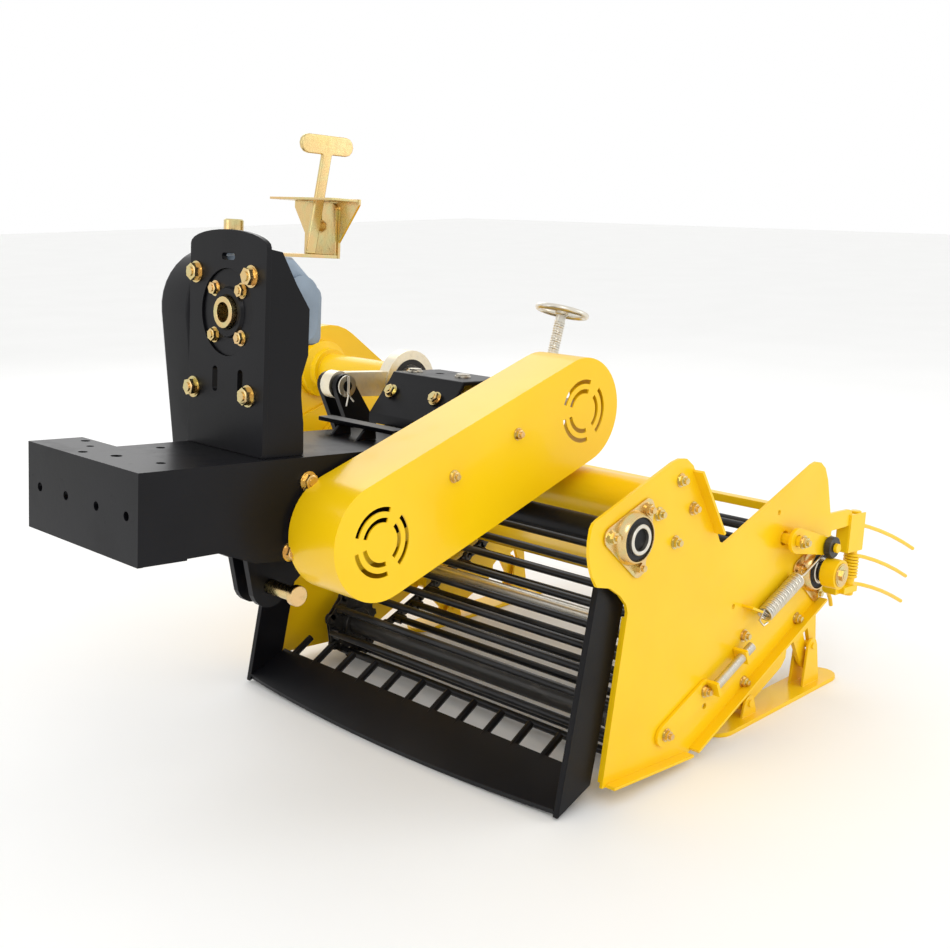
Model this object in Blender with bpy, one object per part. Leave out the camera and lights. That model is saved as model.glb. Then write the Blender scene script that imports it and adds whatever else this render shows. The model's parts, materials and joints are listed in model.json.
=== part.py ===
"""A belt-driven potato digger for a small two-wheeled tractor.

Metres, +Z up.  +X points forward to the tractor, +Y to the digger's left.
The ground is z = 0, and y = 0 is the middle of the share.
"""
import math

import bmesh
import bpy
from mathutils import Matrix, Vector
from mathutils.geometry import tessellate_polygon

# ---- clearances -------------------------------------------------------------
SEAT = 0.0003            # between pieces that touch
RUN = 0.0005             # a shaft in its bearing
WHEEL_CLEAR = 0.0008     # a chain wheel inside its chain

# ---- share ------------------------------------------------------------------
SHARE_WIDTH = 0.574      # between the arms
ARM_T = 0.008
PIVOT = (-0.076, 0.322)  # x, z of the share's pivot
BLADE_DEPTH = 0.066
BLADE_T = 0.008
BLADE_SLOPE = math.radians(25)
BLADE_BOW = 0.014        # how far the edge bows forward in the middle
TINE_COUNT = 12
TINE_R = 0.005
TINE_LENGTH = 0.034
TINE_SLOPE = math.radians(34)
PIVOT_TUBE_R = 0.015
PIVOT_STUB_R = 0.0125

# ---- how it parks -----------------------------------------------------------
STAND_PITCH = math.radians(4.4)   # nose up, on its share and its skids

# ---- side plates ------------------------------------------------------------
PLATE_T = 0.004
PLATE_CLEAR = 0.009      # from a share arm to its side plate
FLANGE = 0.014           # how far a plate's turned edge stands out
FRONT_FLANGE = 0.004     # how far its front edge is turned in
BEARING_CORNER = 0.061   # from a bearing's axis to its triangle's sharp corners

# ---- conveyor ---------------------------------------------------------------
FRONT_AXIS = (-0.168, 0.068)
CONVEYOR_SLOPE = math.radians(26.6)
CHAIN_PITCH = 0.0381
SPROCKET_TEETH = 7
CHAIN_LINKS = 26
CHAIN_W = 0.014
CHAIN_H = 0.012
CHAIN_INSET = 0.040      # from the side plate to the chain's middle
BAR_R = 0.0055
SHAFT_R = 0.0125

# ---- hitch frame ------------------------------------------------------------
HITCH_X = 0.428
HITCH_WIDTH = 0.216
HITCH_DEPTH = 0.062      # of the wide front box
HITCH_TOP = 0.407
HITCH_HEIGHT = 0.092
FRAME_T = 0.006
FRAME_RIGHT = -0.037     # inner box, right wall
FRAME_REAR = -0.120

# ---- upright and gearbox ----------------------------------------------------
UPRIGHT_X = 0.279
UPRIGHT_Y = (-0.037, 0.098)
UPRIGHT_TOP = 0.637
UPRIGHT_T = 0.006
HUB = (0.0315, 0.552)    # y, z of the input hub
HUB_R = 0.0165
HUB_BORE_R = 0.0105
GEARBOX_Y = (-0.029, 0.088)
GEARBOX_DEPTH = 0.077
GEARBOX_TOP_DEPTH = 0.038
GEARBOX_Z = (0.521, 0.612)

# ---- drive ------------------------------------------------------------------
JACK_AXIS = (0.190, 0.326)
DRIVE_AXIS = (-0.124, 0.447)
GUARD_R = 0.064
GUARD_FACE_Y = 0.188
GUARD_DEPTH = 0.075
GUARD_T = 0.002
FAR_GUARD_AT = (-0.140, 0.436)
FAR_GUARD_R = (0.074, 0.049)     # at its drive end and at the rear shaft
COVER_R = 0.066
COVER_Y = (-0.094, -0.0373)
COVER_TOP = (0.215, 0.551)
DRIVE_R = 0.0125
ROD_Y = -0.125           # middle of the connecting rod
ROD_T = 0.018
ROD_PIN = (0.000, 0.449)
ROD_EYE_R = 0.044
ROD_END_R = 0.018
ROD_H = 0.032            # of its shank
THROW = 0.005            # the eccentric's throw
HOUSING_R = 0.0185       # tube round the drive shaft
FAR_HOUSING_R = 0.024
FAR_FLANGE_R = 0.041
GUARD_STUDS = ((0.0897, 0.387), (-0.0095, 0.427))
STUD_R = 0.005
ROCKER_T = 0.008
PIN_R = 0.007

# ---- cross beam -------------------------------------------------------------
BEAM = (-0.160, 0.343)
BEAM_R = 0.030
BEAM_WALL = 0.004
BEAM_PLATE = 0.046       # from the beam's axis to its end plate's sharp corners

# ---- rake at the discharge --------------------------------------------------
RAKE_PIVOT = (-0.408, 0.280)
RAKE_PIN_R = 0.007
CAM_R = 0.020
CAM_W = 0.022
ROLLER_R = 0.0145
ROLLER_W = 0.009
RAKE_ARM_T = 0.005
RAKE_BAR = (-0.600, 0.176)
RAKE_POST_X = -0.633
RAKE_POST_Z = (0.165, 0.290)
FINGER_ENDS = ((0.270, -0.826, 0.208), (0.224, -0.812, 0.166), (0.182, -0.805, 0.127))
COMB_TINES = 13

# ---- skids ------------------------------------------------------------------
SKID_INSET = 0.023       # from the side plate's inner face to the skid's middle
SKID_WIDTH = 0.048
SKID_X = (-0.305, -0.612)
SKID_T = 0.006
SKID_PIN = (-0.386, 0.054)
SKID_TOP_PIN = (-0.540, 0.105)
SKID_CHEEK = 0.008       # from the skid's middle to a cheek's inner face
SKID_CHEEK_T = 0.004
SKID_PIN_R = 0.005
CARRIER_T = 0.006
CARRIER_BOLTS = ((-0.339, 0.097), (-0.458, 0.163))
SKID_SWING = math.radians(4)

# ---- handwheel --------------------------------------------------------------
WHEEL = (-0.293, 0.0, 0.551)
WHEEL_R = 0.038
WHEEL_LEAN = math.radians(14)
SCREW_R = 0.008
SCREW_LENGTH = 0.225

# ---- worked out -------------------------------------------------------------
ARM_IN = SHARE_WIDTH / 2
ARM_OUT = ARM_IN + ARM_T
PLATE_IN = ARM_OUT + PLATE_CLEAR
PLATE_OUT = PLATE_IN + PLATE_T
CHAIN_Y = PLATE_IN - CHAIN_INSET
CAM_Y = (PLATE_OUT + 0.022, PLATE_OUT + 0.022 + CAM_W)
SKID_Y = PLATE_IN - SKID_INSET
SHARE_TIP = BLADE_BOW * math.cos(BLADE_SLOPE)
SPROCKET_R = CHAIN_PITCH / 2 / math.sin(math.pi / SPROCKET_TEETH)
RUN_LENGTH = (CHAIN_LINKS * CHAIN_PITCH - 2 * math.pi * SPROCKET_R) / 2
REAR_AXIS = (FRONT_AXIS[0] - RUN_LENGTH * math.cos(CONVEYOR_SLOPE),
             FRONT_AXIS[1] + RUN_LENGTH * math.sin(CONVEYOR_SLOPE))

FINISHES = {             # colour, roughness, metallic
    "yellow": ((0.90, 0.55, 0.02), 0.35, 0.0),
    "black": ((0.012, 0.012, 0.014), 0.35, 0.2),
    "zinc": ((0.70, 0.62, 0.42), 0.30, 1.0),
    "steel": ((0.05, 0.05, 0.055), 0.40, 0.8),
    "grey": ((0.30, 0.34, 0.38), 0.50, 0.3),
}


# ---- building helpers -------------------------------------------------------
def clear_scene():
    for item in list(bpy.data.objects):
        bpy.data.objects.remove(item, do_unlink=True)


def finish(obj, colour):
    rgb, roughness, metallic = FINISHES[colour]
    material = bpy.data.materials.new(obj.name + "_" + colour)
    material.use_nodes = True
    shader = material.node_tree.nodes["Principled BSDF"]
    shader.inputs["Base Color"].default_value = (*rgb, 1.0)
    shader.inputs["Roughness"].default_value = roughness
    shader.inputs["Metallic"].default_value = metallic
    obj.data.materials.clear()
    obj.data.materials.append(material)
    obj.data.shade_smooth()
    obj.data.set_sharp_from_angle(angle=math.radians(32))
    return obj


def make(name, verts, faces):
    bm = bmesh.new()
    corners = [bm.verts.new(v) for v in verts]
    for face in faces:
        bm.faces.new([corners[i] for i in face])
    bmesh.ops.recalc_face_normals(bm, faces=bm.faces)
    mesh = bpy.data.meshes.new(name)
    bm.to_mesh(mesh)
    bm.free()
    obj = bpy.data.objects.new(name, mesh)
    bpy.context.collection.objects.link(obj)
    return obj


def place(axis, u, v, w):
    """The point at u, v across the axis and w along it."""
    return {"X": (w, u, v), "Y": (u, w, v), "Z": (u, v, w)}[axis]


def plane_faces(loops, start, verts, axis, w):
    """Fills a flat outline with holes; start is its first vertex."""
    points = [[Vector((u, v, 0)) for u, v in loop] for loop in loops]
    for loop in loops:
        verts.extend(place(axis, u, v, w) for u, v in loop)
    return [[start + i for i in tri] for tri in tessellate_polygon(points)]


def wall_faces(loops, a, b):
    """Joins the outlines that start at vertices a and b."""
    faces = []
    for loop in loops:
        n = len(loop)
        for i in range(n):
            j = (i + 1) % n
            faces.append([a + i, a + j, b + j, b + i])
        a += n
        b += n
    return faces


def prism(name, axis, lo, hi, outline, holes=()):
    """A flat outline, with holes, given a thickness along an axis."""
    loops = [outline, *holes]
    verts = []
    faces = plane_faces(loops, 0, verts, axis, lo)
    second = len(verts)
    faces += plane_faces(loops, second, verts, axis, hi)
    faces += wall_faces(loops, 0, second)
    return make(name, verts, faces)


def tray(name, outer, inner, holes, face, floor, rim):
    """A pressed cover on the Y axis: outer face, its inner side, and its rim."""
    verts = []
    faces = plane_faces([outer, *holes], 0, verts, "Y", face)
    low = len(verts)
    faces += plane_faces([inner, *holes], low, verts, "Y", floor)
    edge = len(verts)
    faces += plane_faces([outer, inner], edge, verts, "Y", rim)
    faces += wall_faces([outer], 0, edge)
    faces += wall_faces([inner], low, edge + len(outer))
    faces += wall_faces(holes, len(outer), low + len(inner))
    return make(name, verts, faces)


def turned(name, centre, axis, profile, steps=24):
    """A closed outline of (radius, place along the axis) turned round it."""
    verts = []
    rows = []
    for r, w in profile:
        if r == 0:
            rows.append([len(verts)] * steps)
            verts.append(place(axis, *centre, w))
            continue
        rows.append(list(range(len(verts), len(verts) + steps)))
        for i in range(steps):
            t = 2 * math.pi * i / steps
            u = centre[0] + r * math.cos(t)
            v = centre[1] + r * math.sin(t)
            verts.append(place(axis, u, v, w))
    faces = []
    for k, row in enumerate(rows):
        following = rows[(k + 1) % len(rows)]
        if row[0] == row[1] and following[0] == following[1]:
            continue
        for i in range(steps):
            j = (i + 1) % steps
            corners = [row[i], row[j], following[j], following[i]]
            faces.append(list(dict.fromkeys(corners)))
    return make(name, verts, faces)


def drum(name, centre, axis, lo, hi, r, steps=24):
    return turned(name, centre, axis, [(0, lo), (r, lo), (r, hi), (0, hi)], steps)


def ring(name, centre, axis, lo, hi, r_in, r_out, steps=24):
    profile = [(r_in, lo), (r_out, lo), (r_out, hi), (r_in, hi)]
    return turned(name, centre, axis, profile, steps)


def rod(name, start, end, r, steps=12):
    """A round bar between two points."""
    start = Vector(start)
    along = Vector(end) - start
    bar = drum(name, (0, 0), "Z", 0, along.length, r, steps)
    turn = along.to_track_quat("Z", "Y").to_matrix().to_4x4()
    bar.data.transform(Matrix.Translation(start) @ turn)
    return bar


def box(name, lo, hi):
    outline = [(lo[0], lo[1]), (hi[0], lo[1]), (hi[0], hi[1]), (lo[0], hi[1])]
    return prism(name, "Z", lo[2], hi[2], outline)


def combine(base, others, operation):
    for other in others:
        step = base.modifiers.new(other.name, "BOOLEAN")
        step.operation = operation
        step.solver = "EXACT"
        step.object = other
    graph = bpy.context.evaluated_depsgraph_get()
    mesh = bpy.data.meshes.new_from_object(base.evaluated_get(graph))
    base.modifiers.clear()
    base.data = mesh
    for other in others:
        bpy.data.objects.remove(other, do_unlink=True)
    return base


def fuse(base, *others):
    return combine(base, others, "UNION")


def cut(base, *others):
    return combine(base, others, "DIFFERENCE")


# ---- outlines ---------------------------------------------------------------
def arc(centre, r, start, end, steps):
    """Points on an arc; start and end are in degrees."""
    points = []
    for i in range(steps + 1):
        t = math.radians(start + (end - start) * i / steps)
        points.append((centre[0] + r * math.cos(t), centre[1] + r * math.sin(t)))
    return points


def circle(centre, r, steps=20):
    return arc(centre, r, 0, 360, steps)[:-1]


def capsule(a, b, r_a, r_b=None, steps=10):
    """The outline round two circles and the tangents between them."""
    r_b = r_a if r_b is None else r_b
    dx, dz = b[0] - a[0], b[1] - a[1]
    heading = math.degrees(math.atan2(dz, dx))
    lean = math.degrees(math.acos((r_a - r_b) / math.hypot(dx, dz)))
    first = arc(a, r_a, heading + lean, heading + 360 - lean, steps)
    second = arc(b, r_b, heading - lean, heading + lean, steps)
    return first + second


def rounded(points, radii, steps=4):
    """A polygon with each corner rounded by its own radius."""
    outline = []
    n = len(points)
    for i in range(n):
        here = Vector(points[i])
        back = (Vector(points[i - 1]) - here).normalized()
        ahead = (Vector(points[(i + 1) % n]) - here).normalized()
        r = radii[i] if isinstance(radii, (list, tuple)) else radii
        if r == 0:
            outline.append(tuple(here))
            continue
        half = back.angle(ahead) / 2
        reach = r / math.tan(half)
        middle = here + (back + ahead).normalized() * r / math.sin(half)
        a = (here + back * reach - middle).normalized()
        b = (here + ahead * reach - middle).normalized()
        for k in range(steps + 1):
            outline.append(tuple(middle + a.slerp(b, k / steps) * r))
    return outline


def along_conveyor(s, offset=0.0):
    """A point s up the conveyor's axis line and offset above it."""
    c, d = math.cos(CONVEYOR_SLOPE), math.sin(CONVEYOR_SLOPE)
    return (FRONT_AXIS[0] - s * c + offset * d, FRONT_AXIS[1] + s * d + offset * c)


# ---- share ------------------------------------------------------------------
def share_blade():
    """A sloping blade with a bowed front edge and a row of round tines."""
    c, d = math.cos(BLADE_SLOPE), math.sin(BLADE_SLOPE)
    half = ARM_IN - SEAT
    steps = 12
    verts = []
    for i in range(steps + 1):
        y = -half + 2 * half * i / steps
        bow = BLADE_BOW * (1 - (y / half) ** 2)
        front = (bow * c, -bow * d)
        rear = (-BLADE_DEPTH * c, BLADE_DEPTH * d)
        lift = BLADE_BOW * d
        for x, z in (front, rear):
            verts.append((x, y, z + lift))
        for x, z in (rear, front):
            verts.append((x + BLADE_T * d, y, z + lift + BLADE_T * c))
    faces = [[0, 1, 2, 3], [4 * steps + k for k in (3, 2, 1, 0)]]
    for i in range(steps):
        a = 4 * i
        for k in range(4):
            j = (k + 1) % 4
            faces.append([a + k, a + j, a + 4 + j, a + 4 + k])
    blade = make("share_blade", verts, faces)
    tines = []
    spread = 2 * (half - 0.022)
    root = Vector((-(BLADE_DEPTH - 0.010) * c, 0, BLADE_BOW * d + 0.5 * BLADE_T * c
                   + (BLADE_DEPTH - 0.010) * d))
    reach = Vector((-math.cos(TINE_SLOPE), 0, math.sin(TINE_SLOPE)))
    for i in range(TINE_COUNT):
        side = Vector((0, spread * (i / (TINE_COUNT - 1) - 0.5), 0))
        tip = root + side + reach * (TINE_LENGTH + 0.010)
        tines.append(rod("tine", root + side, tip, TINE_R, 8))
    finish(fuse(blade, *tines), "black")


def share_arms():
    boss = 0.027
    rear = (-BLADE_DEPTH * 0.78, BLADE_DEPTH * 0.78 * math.tan(BLADE_SLOPE))
    low = BLADE_BOW * math.sin(BLADE_SLOPE)
    front = (0.004, low - 0.002)
    lean = Vector(PIVOT) - Vector(rear)
    across = Vector((lean.y, -lean.x)).normalized()
    top = [tuple(Vector(PIVOT) + across * boss * math.cos(t) + lean.normalized() * boss * math.sin(t))
           for t in [math.pi * k / 10 for k in range(11)]]
    outline = [front] + top + [(rear[0], rear[1] + low)]
    hole = circle(PIVOT, PIVOT_STUB_R + 2 * SEAT, 20)
    for side, name in ((1, "share_arm_left"), (-1, "share_arm_right")):
        lo, hi = sorted((side * ARM_IN, side * ARM_OUT))
        finish(prism(name, "Y", lo, hi, outline, [hole]), "black")


def pivot_tube():
    """The share's pivot, with two rocker cheeks that hold the rod's pin."""
    end = PLATE_OUT + 0.010
    inner = ARM_IN - SEAT
    profile = [(0, -end), (PIVOT_STUB_R, -end), (PIVOT_STUB_R, -inner), (PIVOT_TUBE_R, -inner),
               (PIVOT_TUBE_R, inner), (PIVOT_STUB_R, inner), (PIVOT_STUB_R, end), (0, end)]
    tube = turned("pivot_tube", PIVOT, "Y", profile, 20)
    outline = capsule(PIVOT, ROD_PIN, 0.028, 0.015, 8)
    gap = ROD_T / 2 + 0.002
    cheeks = []
    for side in (1, -1):
        lo, hi = sorted((ROD_Y + side * gap, ROD_Y + side * (gap + ROCKER_T)))
        cheeks.append(prism("cheek", "Y", lo, hi, outline))
    reach = gap + ROCKER_T + 0.006
    pin = drum("pin", ROD_PIN, "Y", ROD_Y - reach, ROD_Y + reach, PIN_R, 16)
    finish(fuse(tube, pin, *cheeks), "black")


def con_rod():
    """Links the eccentric to the rockers; its eye clears the shaft by the throw."""
    eye = ring("con_rod", DRIVE_AXIS, "Y", ROD_Y - ROD_T / 2, ROD_Y + ROD_T / 2,
               DRIVE_R + THROW + 0.003, ROD_EYE_R, 32)
    end = ring("end", ROD_PIN, "Y", ROD_Y - ROD_T / 2, ROD_Y + ROD_T / 2,
               PIN_R + RUN, ROD_END_R, 20)
    a = Vector((DRIVE_AXIS[0], DRIVE_AXIS[1]))
    b = Vector((ROD_PIN[0], ROD_PIN[1]))
    heading = (b - a).normalized()
    across = Vector((-heading.y, heading.x)) * ROD_H / 2
    start = a + heading * (ROD_EYE_R - 0.008)
    stop = b - heading * (PIN_R + 0.002)
    outline = [tuple(p) for p in (start - across, stop - across, stop + across, start + across)]
    shank = prism("shank", "Y", ROD_Y - 0.008, ROD_Y + 0.008, outline)
    finish(fuse(eye, end, shank), "zinc")


# ---- side plates ------------------------------------------------------------
FOOT = (-0.0563, 0.0284)
NECK = (-0.0800, 0.2337)
CREST = (-0.1860, 0.3950)
NOTCH = (-0.2505, 0.3040)
TAIL_FOOT = (-0.5200, 0.1835)
HEEL = (-0.2248, 0.0290)


def plate_outline():
    """The side plate's outline, walked from its front foot up over both lobes."""
    lobe = arc(PIVOT, 0.074, -42, 14, 5) + [(-0.0075, 0.3455), (-0.0135, 0.3490)]
    crown = [(-0.1450, 0.4020), (-0.1580, 0.4050), (-0.1720, 0.4040), CREST]
    notch = [NOTCH, (-0.2560, 0.2945), (-0.2660, 0.2905), (-0.2800, 0.2960)]
    tail = [(-0.4600, 0.3730), (-0.4720, 0.3760), (-0.4850, 0.3740), (-0.4980, 0.3650),
            (-0.5080, 0.3480), (-0.5320, 0.2755), TAIL_FOOT, HEEL]
    throat = [(-0.0760, 0.2440), (-0.0640, 0.2560), (-0.0440, 0.2680)]
    return [FOOT, NECK] + throat + lobe + crown + notch + tail


def flange(a, b, y_in, y_out):
    """A turned edge along the outline from a to b."""
    a, b = Vector(a), Vector(b)
    along = (b - a).normalized()
    normal = Vector((-along.y, along.x))
    near, far = normal * 0.0005, normal * PLATE_T
    trim = along * 0.006
    outline = [tuple(p) for p in (a + trim + near, b - trim + near, b - trim + far, a + trim + far)]
    lo, hi = sorted((y_in, y_out))
    return prism("flange", "Y", lo, hi, outline)


def side_plates():
    outline = plate_outline()
    holes = [circle(PIVOT, PIVOT_STUB_R + 0.009, 20), circle(REAR_AXIS, SHAFT_R + 0.009, 20)]
    pin_hole = circle(RAKE_PIVOT, RAKE_PIN_R + 0.003, 16)
    edges = [(FOOT, HEEL), (HEEL, TAIL_FOOT), (NOTCH, CREST)]
    for side, name in ((1, "side_plate_left"), (-1, "side_plate_right")):
        lo, hi = sorted((side * PLATE_IN, side * PLATE_OUT))
        own = holes + [pin_hole] if side > 0 else holes
        plate = prism(name, "Y", lo, hi, outline, own)
        out = side * (PLATE_OUT + FLANGE)
        turned_up = edges if side > 0 else edges[:-1]
        rims = [flange(FOOT, NECK, side * (PLATE_OUT - 0.001), side * (PLATE_IN - FRONT_FLANGE))]
        for a, b in turned_up:
            rims.append(flange(b, a, side * (PLATE_IN + 0.001), out))
        finish(fuse(plate, *rims), "yellow")


def bearing(name, centre, face, way, shaft_r):
    """A pressed three-bolt bearing housing standing way (+1 or -1) from a plate's face."""
    corners = arc(centre, BEARING_CORNER, 5, 245, 2)
    outline = rounded(corners, 0.011, 4)
    lo, hi = sorted((face, face + way * 0.003))
    hole = circle(centre, shaft_r + RUN + 0.010, 20)
    seat = prism(name, "Y", lo, hi, outline, [hole])
    profile = [(shaft_r + RUN, face), (0.031, face), (0.031, face + way * 0.010),
               (0.026, face + way * 0.015), (shaft_r + RUN, face + way * 0.015)]
    race = turned("race", centre, "Y", profile, 24)
    finish(fuse(seat, race), "zinc")


def bearings():
    face = PLATE_OUT + SEAT
    bearing("pivot_bearing_left", PIVOT, face, 1, PIVOT_STUB_R)
    bearing("pivot_bearing_right", PIVOT, -face, -1, PIVOT_STUB_R)
    bearing("rear_bearing_left", REAR_AXIS, face, 1, SHAFT_R)
    bearing("rear_bearing_right", REAR_AXIS, -PLATE_IN + SEAT, 1, SHAFT_R)


# ---- conveyor ---------------------------------------------------------------
def loop_outline(offset, steps=12):
    a, b = FRONT_AXIS, REAR_AXIS
    return capsule(a, b, SPROCKET_R + offset, SPROCKET_R + offset, steps)


def loop_point(s):
    """The place on the chain's pitch line at s metres round the loop."""
    total = CHAIN_LINKS * CHAIN_PITCH
    s = s % total
    turn = math.pi * SPROCKET_R
    if s < RUN_LENGTH:
        return along_conveyor(s, SPROCKET_R)
    s -= RUN_LENGTH
    lean = math.degrees(CONVEYOR_SLOPE)
    if s < turn:
        angle = math.radians(90 - lean + math.degrees(s / SPROCKET_R))
        return (REAR_AXIS[0] + SPROCKET_R * math.cos(angle),
                REAR_AXIS[1] + SPROCKET_R * math.sin(angle))
    s -= turn
    if s < RUN_LENGTH:
        return along_conveyor(RUN_LENGTH - s, -SPROCKET_R)
    s -= RUN_LENGTH
    angle = math.radians(270 - lean + math.degrees(s / SPROCKET_R))
    return (FRONT_AXIS[0] + SPROCKET_R * math.cos(angle),
            FRONT_AXIS[1] + SPROCKET_R * math.sin(angle))


def conveyor_web():
    """Both chains, with a round bar between them at every link."""
    outer, inner = loop_outline(CHAIN_H / 2), loop_outline(-CHAIN_H / 2)
    pieces = []
    for side in (1, -1):
        lo, hi = sorted((side * (CHAIN_Y - CHAIN_W / 2), side * (CHAIN_Y + CHAIN_W / 2)))
        pieces.append(prism("conveyor_web", "Y", lo, hi, outer, [inner]))
    reach = CHAIN_Y
    bars = []
    for i in range(CHAIN_LINKS):
        x, z = loop_point((i + 0.5) * CHAIN_PITCH)
        bars.append(drum("bar", (x, z), "Y", -reach, reach, BAR_R, 8))
    finish(fuse(pieces[0], pieces[1], *bars), "steel")


def conveyor_shaft(name, axis, end, tube_r):
    """A shaft that carries a wheel inside each chain."""
    r = SPROCKET_R - CHAIN_H / 2 - WHEEL_CLEAR
    lo, hi = CHAIN_Y - CHAIN_W / 2, CHAIN_Y + CHAIN_W / 2
    profile = [(SHAFT_R, end), (SHAFT_R, hi), (r, hi), (r, lo), (tube_r, lo)]
    ends = [(0, -end)] + [(a, -b) for a, b in profile] + list(reversed(profile)) + [(0, end)]
    finish(turned(name, axis, "Y", ends, 28), "steel")


def conveyor():
    conveyor_web()
    conveyor_shaft("front_shaft", FRONT_AXIS, PLATE_IN - SEAT, 0.016)
    conveyor_shaft("rear_shaft", REAR_AXIS, CAM_Y[1], SHAFT_R + 0.003)


# ---- frame ------------------------------------------------------------------
def hitch_frame():
    """A folded box: wide at the hitch, narrow behind it, open below."""
    t = FRAME_T
    top, low = HITCH_TOP, HITCH_TOP - HITCH_HEIGHT
    half = HITCH_WIDTH / 2
    back = HITCH_X - HITCH_DEPTH
    outline = [(HITCH_X, -half), (HITCH_X, half), (FRAME_REAR, half),
               (FRAME_REAR, FRAME_RIGHT), (back, FRAME_RIGHT), (back, -half)]
    roof = prism("hitch_frame", "Z", top - t, top, outline)
    front = box("front", (HITCH_X - t, -half, low), (HITCH_X, half, top - 0.001))
    right = box("right", (back, -half, low), (HITCH_X - 0.001, -half + t, top - 0.001))
    step = box("step", (back, -half + 0.001, low + 0.001), (back + t, FRAME_RIGHT + 0.001, top - 0.001))
    side = [(HITCH_X - 0.001, low + 0.001), (HITCH_X - 0.001, top - 0.001), (FRAME_REAR, top - 0.001),
            (FRAME_REAR, 0.352), (0.040, 0.330), (0.120, 0.300), (0.234, 0.297), (0.292, 0.301),
            (0.336, 0.3175)]
    left_wall = prism("left", "Y", half - t, half, side)
    inner = [(back + 0.001, low + 0.002)] + [(back + 0.001, top - 0.001)] + side[2:]
    right_wall = prism("inner", "Y", FRAME_RIGHT, FRAME_RIGHT + t, inner)
    finish(fuse(roof, front, right, step, left_wall, right_wall), "black")


def lower_lugs():
    """Two ears on a base below the frame's roof, with a headed pin through them."""
    pin = (0.228, 0.2545)
    roof = HITCH_TOP - FRAME_T - SEAT
    outline = [(0.300, roof), (0.150, roof), (0.150, 0.290)] + arc(pin, 0.024, 200, 340, 8)
    outline += [(0.262, 0.296)]
    hole = circle(pin, 0.008 + 2 * SEAT, 16)
    base = box("lower_lugs", (0.151, 0.016, roof - 0.006), (0.299, 0.050, roof - 0.0005))
    ears = [prism("ear", "Y", y, y + 0.008, outline, [hole]) for y in (0.015, 0.043)]
    finish(fuse(base, *ears), "black")
    bolt = turned("lower_pin", pin, "Y", [(0, -0.002), (0.008, -0.002), (0.008, 0.0935),
                                           (0.0115, 0.0935), (0.0115, 0.1015), (0, 0.1015)], 20)
    finish(bolt, "zinc")


def upright():
    """A channel standing on the frame, open to the rear."""
    lo, hi = UPRIGHT_Y
    foot = HITCH_TOP + SEAT
    t = UPRIGHT_T
    top = UPRIGHT_TOP
    half, rise = (hi - lo) / 2, 0.016
    arch = [(lo + half + half * u, top - rise + rise * v) for u, v in arc((0, 0), 1, 0, 180, 14)]
    outline = [(lo, foot), (hi, foot)] + arch
    front = prism("upright", "X", UPRIGHT_X - t, UPRIGHT_X, outline, [circle(HUB, 0.031, 20)])
    x = UPRIGHT_X - 0.001
    cheek = [(x, foot), (x, top - 0.017), (0.2590, top - 0.020), (0.2400, 0.585),
             (0.2225, 0.560), (0.2225, 0.512), (0.2300, 0.490), (0.2300, 0.470),
             (0.2260, 0.440), (0.2250, foot)]
    left = prism("left", "Y", hi - t, hi - 0.0005, cheek)
    right = prism("right", "Y", lo + 0.0005, lo + t, cheek)
    finish(fuse(front, left, right), "black")


def gearbox():
    front = UPRIGHT_X - UPRIGHT_T - SEAT
    lo, hi = GEARBOX_Y
    low, high = GEARBOX_Z
    back, ledge = front - GEARBOX_DEPTH, front - GEARBOX_TOP_DEPTH
    side = [(front, low), (front, high), (ledge, high), (back, high - 0.034), (back, low)]
    body = prism("gearbox", "Y", lo, hi, side)
    bevel = body.modifiers.new("edges", "BEVEL")
    bevel.width = 0.008
    bevel.segments = 2
    bevel.angle_limit = math.radians(45)
    bore = drum("bore", HUB, "X", front - 0.020, front + 0.010, HUB_R + RUN, 20)
    finish(cut(body, bore), "grey")
    hub = ring("input_hub", HUB, "X", front - 0.019, front + 0.012, HUB_BORE_R, HUB_R, 20)
    finish(hub, "zinc")


def chain_cover():
    """The cover over the drive from the gearbox down to the jack shaft."""
    outline = capsule(JACK_AXIS, COVER_TOP, COVER_R, COVER_R, 18)
    finish(prism("chain_cover", "Y", *COVER_Y, outline), "black")


def shift():
    """The gear lever, and the slotted bracket that guides it."""
    top, low = 0.675, GEARBOX_Z[1] + SEAT
    x, y = 0.168, 0.059
    outline = [(y - 0.062, top), (y - 0.062, top - 0.010), (y - 0.041, top - 0.040), (y - 0.041, low),
               (y + 0.015, low), (y + 0.015, top - 0.046), (y + 0.046, top - 0.006), (y + 0.046, top)]
    plate = prism("shift_bracket", "X", x - 0.003, x, outline)
    shelf = box("shelf", (x - 0.001, y - 0.061, top - 0.003), (x + 0.035, y + 0.045, top - 0.0005))
    foot = box("foot", (x - 0.001, y - 0.040, low), (x + 0.090, y + 0.014, low + 0.0035))
    slot = box("slot", (x + 0.006, y - 0.030, top - 0.010), (x + 0.024, y + 0.030, top + 0.010))
    finish(cut(fuse(plate, shelf, foot), slot), "zinc")
    middle = x + 0.008
    lean = 0.018
    half = 0.035
    heel = low + 0.0035 + SEAT
    tee = [(middle + lean - 0.006, heel), (middle + lean + 0.006, heel), (middle + 0.006, 0.720)]
    tee += arc((middle + half - 0.010, 0.730), 0.010, -90, 90, 6)
    tee += arc((middle - half + 0.010, 0.730), 0.010, 90, 270, 6) + [(middle - 0.006, 0.720)]
    finish(prism("shift_lever", "Y", y - 0.0025, y + 0.0025, tee), "zinc")


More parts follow.
